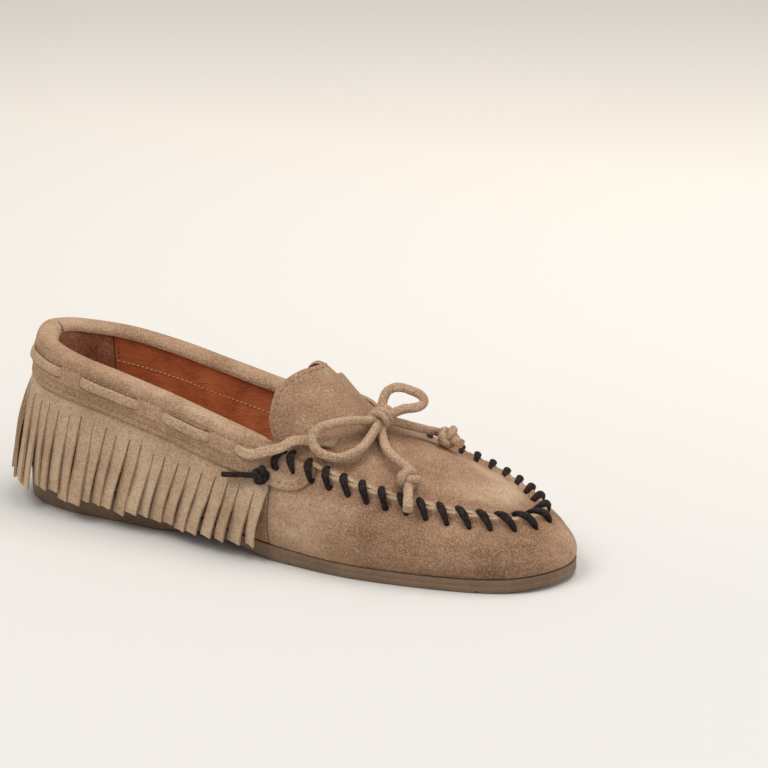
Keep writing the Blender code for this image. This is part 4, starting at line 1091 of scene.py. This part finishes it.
def make_collar():
    half = spread(0, TAB_END_T - .0008, 1.05)[1:]
    half = half[:-1] + [TAB_END_T - .0012, TAB_END_T - .0006, TAB_END_T - .0002]
    places = [-p for p in half[::-1]] + [0.0] + half
    skin("collar leather", [collar_ring(p) for p in places], (COLLAR_LOOK, RAW_LOOK), sharp=70,
         replaces=["collar"])
    for name, end, depth in (("upper", .485, lambda p: 2.7), ("lower", .578, low_row)):
        row = [p for p in places if abs(p) <= end]
        path = [wall(p, depth(p), collar_skin(p, depth(p))) for p in row]
        thread_row(f"collar stitches {name}", path, [wall_frame(p, depth(p))[1] for p in row], TAN_THREAD,
                   length=2.0, gap=.9, radius=.27)


def low_row(p):
    return collar_section(p)[0][1] - 2.1


def collar_skin(p, w):
    """How far out the collar's outer face lies there."""
    corners = [(c[1], c[0]) for c in collar_section(p)[1:6]][::-1]
    return float(np.interp(w, [c[0] for c in corners], [c[1] for c in corners])) - .22


# ---------------------------------------------------------------- the fringe
def make_fringe(name, side):
    """A strip of suede cut into strands that lean, curl and twist a little, each its own way."""
    pitch = (FRINGE_END_T - .002) / STRANDS_PER_SIDE
    side_length = lengths_along(LATERAL if side > 0 else MEDIAL)[-1]
    gap = .35 / side_length
    fractions = [0, .16, .38, .62, .84, 1]
    count = STRANDS_PER_SIDE
    order = np.arange(count)
    lean = np.interp(order, [0, 3, 7, 12, 18, 21, 23], [0, 1.2, 4.2, 7.6, 7.8, 5.6, 3.4])
    lean = lean + RANDOM.normal(0, .45, count)
    curl = RANDOM.uniform(0, 1.8, count)
    twist = 1.0 + RANDOM.normal(0, .14, count)
    long = RANDOM.uniform(-.05, .015, count)
    wave = RANDOM.uniform(0, 6.28, count)
    wider = RANDOM.uniform(.04, .12, count) + np.where(order < 5, .14, 0)
    widths = pitch * RANDOM.uniform(.8, 1.22, count)
    ends = np.concatenate([[0], np.cumsum(widths / widths.sum() * pitch * count)]) + .0008
    cuts = np.interp(order, [0, 8, 14, 23], [.23, .27, .32, .27]) + RANDOM.uniform(-.03, .035, count)
    shares = [0, TUCK_SHARE] + list(np.linspace(.14, 1, 40))

    def strand(i, fraction, share, d):
        k = smoothstep(.2, 1.0, share) * .35 + max(0, (share - .2) / .8) * .65
        first, last = ends[i], ends[i + 1] - gap
        width = (last - first) * (1 + wider[i] * smoothstep(cuts[i], cuts[i] + .3, share))
        p = (first + last) / 2 + width * (fraction - .5) - lean[i] * k ** 1.2 / side_length
        share = share * (1 + long[i] * k) if share > .3 else share
        across = 2 * fraction - 1
        off = curl[i] * k ** 4 + twist[i] * across * min(1, k * 1.6) + .3 * across ** 2 * k
        off += (.35 * math.sin(wave[i] + 5 * share) + .35 * math.sin(wave[i] * 2.3)) * k
        return fringe_point(side * p, min(share, 1.04), d + off)

    columns = [(i, f) for i in range(count) for f in fractions]
    grids, per = [], len(fractions)
    for d in (GAP + FRINGE_THICK, GAP):
        grids.append([[strand(i, f, share, d) for i, f in columns] for share in shares])
    cells = np.ones((len(shares) - 1, len(columns) - 1), bool)
    for i in range(1, count):
        cells[:, i * per - 1] = np.array(shares[1:]) < cuts[i]
    shade_and_tone = [[.1 + .12 * math.sin(wave[i] * 3) * smoothstep(.25, .5, share) + .2 * smoothstep(.5, 1, share)
             for i, f in columns] for share in shares]
    sheet("fringe " + name, grids[0], grids[1], (FRINGE_LOOK, RAW_LOOK), cells=cells, shade_and_tone=shade_and_tone,
          replaces=["fringe_" + name])


# ---------------------------------------------------------------- the lace, its bow and knots
def make_lace():
    path, ups = lace_path()
    path, ups = np.array(path), np.array(ups)
    fine = catmull_rom(path, closed=False, steps=7)
    fine_ups = catmull_rom(ups, closed=False, steps=7)
    widths = [LACE_HALF_WIDTH * (1 + .07 * bumps(v, 9, 4.0)) for v in fine]
    section = rings(fine, fine_ups, widths, LACE_HALF_THICK * .95, sides=18, square=3.0, rough=.09)
    skin("collar lace strip", section, (LACE_LOOK,), replaces=["collar_lace"])


def across_of(direction):
    """A direction square to this one, as level as it can be."""
    side = np.cross(direction, (0, 0, 1))
    return side / np.linalg.norm(side)


def overhand(centre, axis, ring_radius, wind, cord_radius, stretch=1.0, seed=0.0, turn=0.0, sides=14):
    """An overhand knot: a cord that winds one and a half times round its own loop, pulled up tight."""
    axis = np.array(axis, float) / np.linalg.norm(axis)
    side = across_of(axis)
    other = np.cross(axis, side)
    loop = []
    for a in np.linspace(0, 2 * math.pi, 120, endpoint=False):
        reach = ring_radius + wind * math.cos(3 * a)
        x, y = reach * math.cos(2 * a + turn), reach * math.sin(2 * a + turn)
        z = wind * stretch * math.sin(3 * a)
        loop.append(np.array(centre) + side * x + other * y + axis * z)
    loop = np.array(loop)
    ups = [v - np.array(centre) for v in loop]
    made = []
    for i, point in enumerate(loop):
        along = unit(loop[(i + 1) % len(loop)] - loop[i - 1])
        normal = unit(ups[i] - along * np.dot(ups[i], along))
        across = np.cross(along, normal)
        ring = []
        for k in range(sides):
            c, s = math.cos(2 * math.pi * k / sides), math.sin(2 * math.pi * k / sides)
            reach = cord_radius * (1 + .08 * bumps(point + across * c * 2 + normal * s * 2, 1.3, seed))
            ring.append(point + (across * c + normal * s) * reach)
        made.append(ring)
    return made


def bow_cord(name, points, nodes, seed=0.0, extra=None):
    """A free length of the soft square-cut lace."""
    path = smooth_path(points, .7, steps=24)
    ups = steady_ups(path)
    radius = CORD_RADIUS * np.array([1 + .05 * bumps(v, 6, seed) for v in path])
    if extra is not None:
        radius = radius * extra(np.linspace(0, 1, len(path)))
    section = rings(path, ups, radius, radius * .92, sides=20, square=2.7, rough=.12, size=1.0, seed=seed)
    piece = skin(name, section, (LACE_LOOK,), replaces=nodes)


def make_bow():
    wraps = []
    axis = unit(np.array([.12, 1.0, .22]))
    side = across_of(axis)
    other = np.cross(axis, side)
    turns, radius, cord_radius = 2.6, 3.6, 1.45
    for a in np.linspace(0, turns * 2 * math.pi, 150):
        share = a / (turns * 2 * math.pi)
        wraps.append(KNOT + side * radius * math.cos(a + 2.2) + other * radius * math.sin(a + 2.2)
                     + axis * (share - .5) * 7.0)
    section = rings(wraps, [v - KNOT for v in wraps], cord_radius, cord_radius, sides=14, square=2.4,
                    rough=.08, size=1.2, seed=6.0)
    skin("bow knot wraps", section, (LACE_LOOK,), replaces=["bow_knot"])
    for name, loop, seed in (("lateral", LOOP_LATERAL, 1.0), ("medial", LOOP_MEDIAL, 2.0)):
        points = [toward(KNOT, loop[0], 1.6)] + loop + [toward(KNOT, loop[-1], 1.6)]
        bow_cord("bow loop cord " + name, points, ["bow_loop_" + name], seed=seed)
    for name, tail, tip, seed in (("lateral", TAIL_LATERAL, TAIL_TIP_LATERAL, 3.0),
                                  ("medial", TAIL_MEDIAL, TAIL_TIP_MEDIAL, 4.0)):
        end = np.array(tail[-1])
        aim = unit(np.array(tip) - end)
        start = toward(end, tip, 0.8)
        knot_rings = overhand(start + aim * 4.2, aim, 2.5, 1.2, 1.85, stretch=1.6, seed=seed, turn=seed)
        knot = skin("stopper knot " + name, knot_rings, (LACE_LOOK,), closed=True)
        reach = np.linalg.norm(np.array(tip) - end) - .8
        points = [toward(KNOT, tail[0], 1.0)] + tail
        points += [start + aim * 3.7, start + aim * reach * .6, start + aim * reach]
        bow_cord("lace tail cord " + name, points, ["lace_tail_" + name, "tail_knot_" + name],
                 seed=seed, extra=lambda s: 1 + .1 * np.clip((s - .8) / .2, 0, 1))


# ---------------------------------------------------------------- the whipstitched thong
def thong_path():
    """Over the ridge in each stitch, and back inside to the next hole: (path, how widely it lies)."""
    rows = []
    over, back = 14, 6
    for i in range(STITCHES):
        here = i + .5
        advance = read(ADVANCE, side_of(place_at(here))[1]) * (1 + .1 * math.sin(i * 2.3))
        reach = 1 + .05 * math.sin(i * 1.7)
        for k in range(over):
            s = k / over
            arch = math.sin(math.pi * s)
            rows.append((here + advance * (s - .5), (-3.0 + 7.9 * s) * reach,
                         -1.4 + 4.35 * arch ** .6, arch))
        for k in range(back):
            s = k / back
            turn = here + advance / 2 + (1 - advance) * s
            rows.append((turn, (4.9 - 7.9 * s) * reach, -1.4 - 1.8 * math.sin(math.pi * s), 0.0))
    path, wide = [], []
    for turn, w, d, arch in rows[:-back]:
        point, normal, down = wall_frame(place_at(turn), 0)
        path.append(point + normal * d + down * w)
        wide.append(arch)
    return np.array(path), np.array(wide)


def make_thong():
    path, wide = thong_path()
    along = lengths_along(path)
    fine = evenly(catmull_rom(path, closed=False, steps=3), .6)
    spread_out = np.interp(np.linspace(0, along[-1], len(fine)), along, wide)
    ups = [place - nearest_core(place) for place in fine]
    width = 1.05 + .62 * spread_out ** 1.3 + np.array([.12 * bumps(v, 3, 9.0) for v in fine])
    thick = 1.05 + .22 * spread_out
    skin("seam thong cord", rings(fine, ups, width, thick, sides=14, square=2.3, rough=.05, size=1.0),
         (THONG_LOOK,), replaces=["seam_thong"], slot="thong")
    for side, name in SIDES:
        start = wall(side * .517, 11.4, 4.6)
        aim = unit(wall(side * .454, 17.6, 5.4) - start)
        tail = [wall(side * .521, 10.9, -.4), wall(side * .52, 11.1, 2.6), start + aim * 1.2,
                start + aim * 8, start + aim * 18.2]
        route = smooth_path(tail, .8, steps=20)
        section = rings(route, steady_ups(route), 1.35, 1.15, sides=12, rough=.07, square=2.6)
        skin("thong tail " + name, section, (THONG_LOOK,), replaces=["thong_knot_" + name], slot="thong")
        knot = overhand(start, aim, 2.0, .9, 1.45, stretch=1.7, seed=7.0, turn=1.1 * side, sides=12)
        skin("thong stopper knot " + name, knot, (THONG_LOOK,), closed=True, slot="thong")
        hooked = [wall(side * .5335, -1.6, -.6), wall(side * .5325, -1.0, 1.6), wall(side * .531, 1.6, 3.3),
                  wall(side * .529, 4.2, 3.1), wall(side * .528, 6.2, 1.5),
                  wall(side * .528, 6.8, -.6)]
        route = smooth_path(hooked, .6, steps=20)
        out = [wall_frame(side * .531, 3)[1]] * len(route)
        skin("first stitch " + name, rings(route, out, 1.55, 1.15, sides=14, rough=.06, square=2.3),
             (THONG_LOOK,), slot="thong")


CORE = np.array([wall(p, 1.0, -.8) for p in SEAM_PLACES])


def nearest_core(place):
    """The nearest point of the line inside the ridge that the thong winds round."""
    return CORE[np.argmin(((CORE - place) ** 2).sum(axis=1))]


# ---------------------------------------------------------------- the sole
def make_outsole():
    """Moulded sole: rounded edges, a fine line round its side, cross grooves and pin holes below."""
    stations = list(np.linspace(0, 1, 170))
    columns = list(np.linspace(0, 1, 13))
    levels = [(.5, 1), (.12, .985), (0, .94), (0, .6), (.12, .56), (0, .52), (0, .16), (.25, .05)]
    top = footbed_grid(.5, lambda x: read(SOLE_TOP, x), stations, columns)
    under = footbed_grid(SOLE_EDGE_ROUND, lambda x: read(SOLE_UNDER, x), stations, columns)
    side_rings = []
    for inset, share in levels:
        def level(x):
            return read(SOLE_UNDER, x) + (read(SOLE_TOP, x) - read(SOLE_UNDER, x)) * share
        side_rings.append(ring_of(footbed_grid(inset, level, stations, [0, 1])))
    side_rings.insert(0, ring_of(np.array(top)[:, [0, -1]]))
    side_rings.append(ring_of(np.array(under)[:, [0, -1]]))
    verts = np.vstack([np.array(top).reshape(-1, 3), np.array(under).reshape(-1, 3)] + side_rings)
    rows, cols, size = len(stations), len(columns), len(side_rings[0])
    faces = []
    for offset, flip in ((0, False), (rows * cols, True)):
        for r in range(rows - 1):
            for c in range(cols - 1):
                a = offset + r * cols + c
                quad = (a, a + 1, a + cols + 1, a + cols)
                faces.append(quad[::-1] if flip else quad)
    base = 2 * rows * cols
    for k in range(len(side_rings) - 1):
        for i in range(size):
            j = (i + 1) % size
            faces.append((base + k * size + i, base + k * size + j,
                          base + (k + 1) * size + j, base + (k + 1) * size + i))
    sole = build("sole moulding", verts, faces, [RUBBER_LOOK], replaces=["outsole"], sharp=32, slot="rubber")
    cut_away(sole, sole_cutters())


def sole_cutters():
    """The cross grooves and the pin holes, as one mesh of separate closed shapes."""
    verts, faces = [], []

    def prism(ring, low, high):
        base, size = len(verts), len(ring)
        verts.extend([(x, y, low) for x, y in ring] + [(x, y, high) for x, y in ring])
        faces.append([base + k for k in range(size)][::-1])
        faces.append([base + size + k for k in range(size)])
        for k in range(size):
            n = (k + 1) % size
            faces.append([base + k, base + n, base + size + n, base + size + k])

    for x in GROOVES_X:
        half = GROOVE_WIDTH / 2
        across = [(x - half, -70), (x + half, -70), (x + half, 70), (x - half, 70)]
        prism(across, -5, read(SOLE_UNDER, x) + GROOVE_DEPTH)
    holes = [(x, y) for x in HEEL_PIN_HOLES_X for y in HEEL_PIN_HOLES_Y] + TOE_PIN_HOLES
    for x, y in holes:
        ring = [(x + PIN_HOLE_RADIUS * math.cos(a), y + PIN_HOLE_RADIUS * math.sin(a))
                for a in np.linspace(0, 2 * math.pi, 24, endpoint=False)]
        prism(ring, -5, read(SOLE_UNDER, x) + PIN_HOLE_DEPTH)
    return verts, faces


def cut_away(piece, cutter):
    mesh = bpy.data.meshes.new("cutter")
    mesh.from_pydata(in_frame(cutter[0]).tolist(), [], cutter[1])
    tool = put("cutter", mesh)
    modifier = piece.modifiers.new("cut", "BOOLEAN")
    modifier.operation, modifier.solver, modifier.object = "DIFFERENCE", "EXACT", tool
    solved = piece.evaluated_get(bpy.context.evaluated_depsgraph_get())
    result = bpy.data.meshes.new_from_object(solved)
    piece.modifiers.clear()
    piece.data = result
    result.shade_smooth()
    result.set_sharp_from_angle(angle=math.radians(32))
    bpy.data.objects.remove(tool)


def finish_nodes():
    """The CAD nodes that keep their own shape get their materials."""
    looks = {"bottom_filler": FELT_LOOK, "heel_counter": FELT_LOOK, "insole_board": BOARD_LOOK,
             "sock_lining": LINING_LOOK}
    for name, look in looks.items():
        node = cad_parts[name]
        for slot in node.material_slots:
            slot.material = look


make_vamp()
make_quarters()
make_linings()
make_plug()
make_collar()
for fringe_side, fringe_name in SIDES:
    make_fringe(fringe_name, fringe_side)
make_lace()
make_bow()
make_thong()
make_outsole()
finish_nodes()


# ---------------------------------------------------------------- floor, light and camera
def floor():
    """A pale paper floor, greyer white in front and brighter cream further back; the brightening toward the
    back is painted light.
    """
    mesh = bpy.data.meshes.new("floor")
    far = 14.0
    mesh.from_pydata([(-far, -far, 0), (far, -far, 0), (far, far, 0), (-far, far, 0)], [], [(0, 1, 2, 3)])
    piece = put("floor", mesh)
    r = Recipe("paper", linear(226, 224, 220), .9, Specular_IOR_Level=0.15)
    parts = r.node("ShaderNodeSeparateXYZ")
    r.link(r.place, parts.inputs[0])
    # Painted light: the paper's colour brightens from the front toward the back.
    mesh.materials.append(r.finish(r.mix(r.span(parts.outputs["Y"], .0, .75), linear(216, 214, 210),
                                         linear(254, 247, 238))))


def lamp(name, place, target, size, power, colour=(1, 1, 1)):
    data = bpy.data.lights.new(name, "AREA")
    data.shape = "DISK"
    data.size = size
    data.energy = power
    data.color = colour
    made = put(name, data)
    made.location = place
    made.rotation_euler = (Vector(target) - Vector(place)).to_track_quat("-Z", "Y").to_euler()


def studio():
    bpy.context.scene.view_settings.view_transform = "Standard"
    world = bpy.data.worlds.new("studio")
    bpy.context.scene.world = world
    world.use_nodes = True
    sky = world.node_tree.nodes["Background"]
    sky.inputs["Color"].default_value = (1.0, .985, .96, 1)
    sky.inputs["Strength"].default_value = 0.52
    middle = (0, 0, .03)
    lamp("key", (-.5, -.7, 1.35), middle, .9, 10.5, (1, .985, .965))
    lamp("top", (.35, .3, 1.5), middle, 1.1, 10.5, (1, .98, .95))
    lamp("right", (1.3, -.1, .6), middle, .8, 4.2, (1, .985, .965))


def camera():
    """A long lens from the toe side, looking a little down."""
    azimuth, elevation = math.radians(25.87), math.radians(17.62)
    data = bpy.data.cameras.new("camera")
    data.sensor_width = 36
    data.lens = 103.125
    made = put("camera", data)
    made.location = in_frame((552.51, -782.06, 346.2))
    made.rotation_euler = (math.pi / 2 - elevation, 0, azimuth)
    bpy.context.scene.camera = made


floor()
studio()
camera()
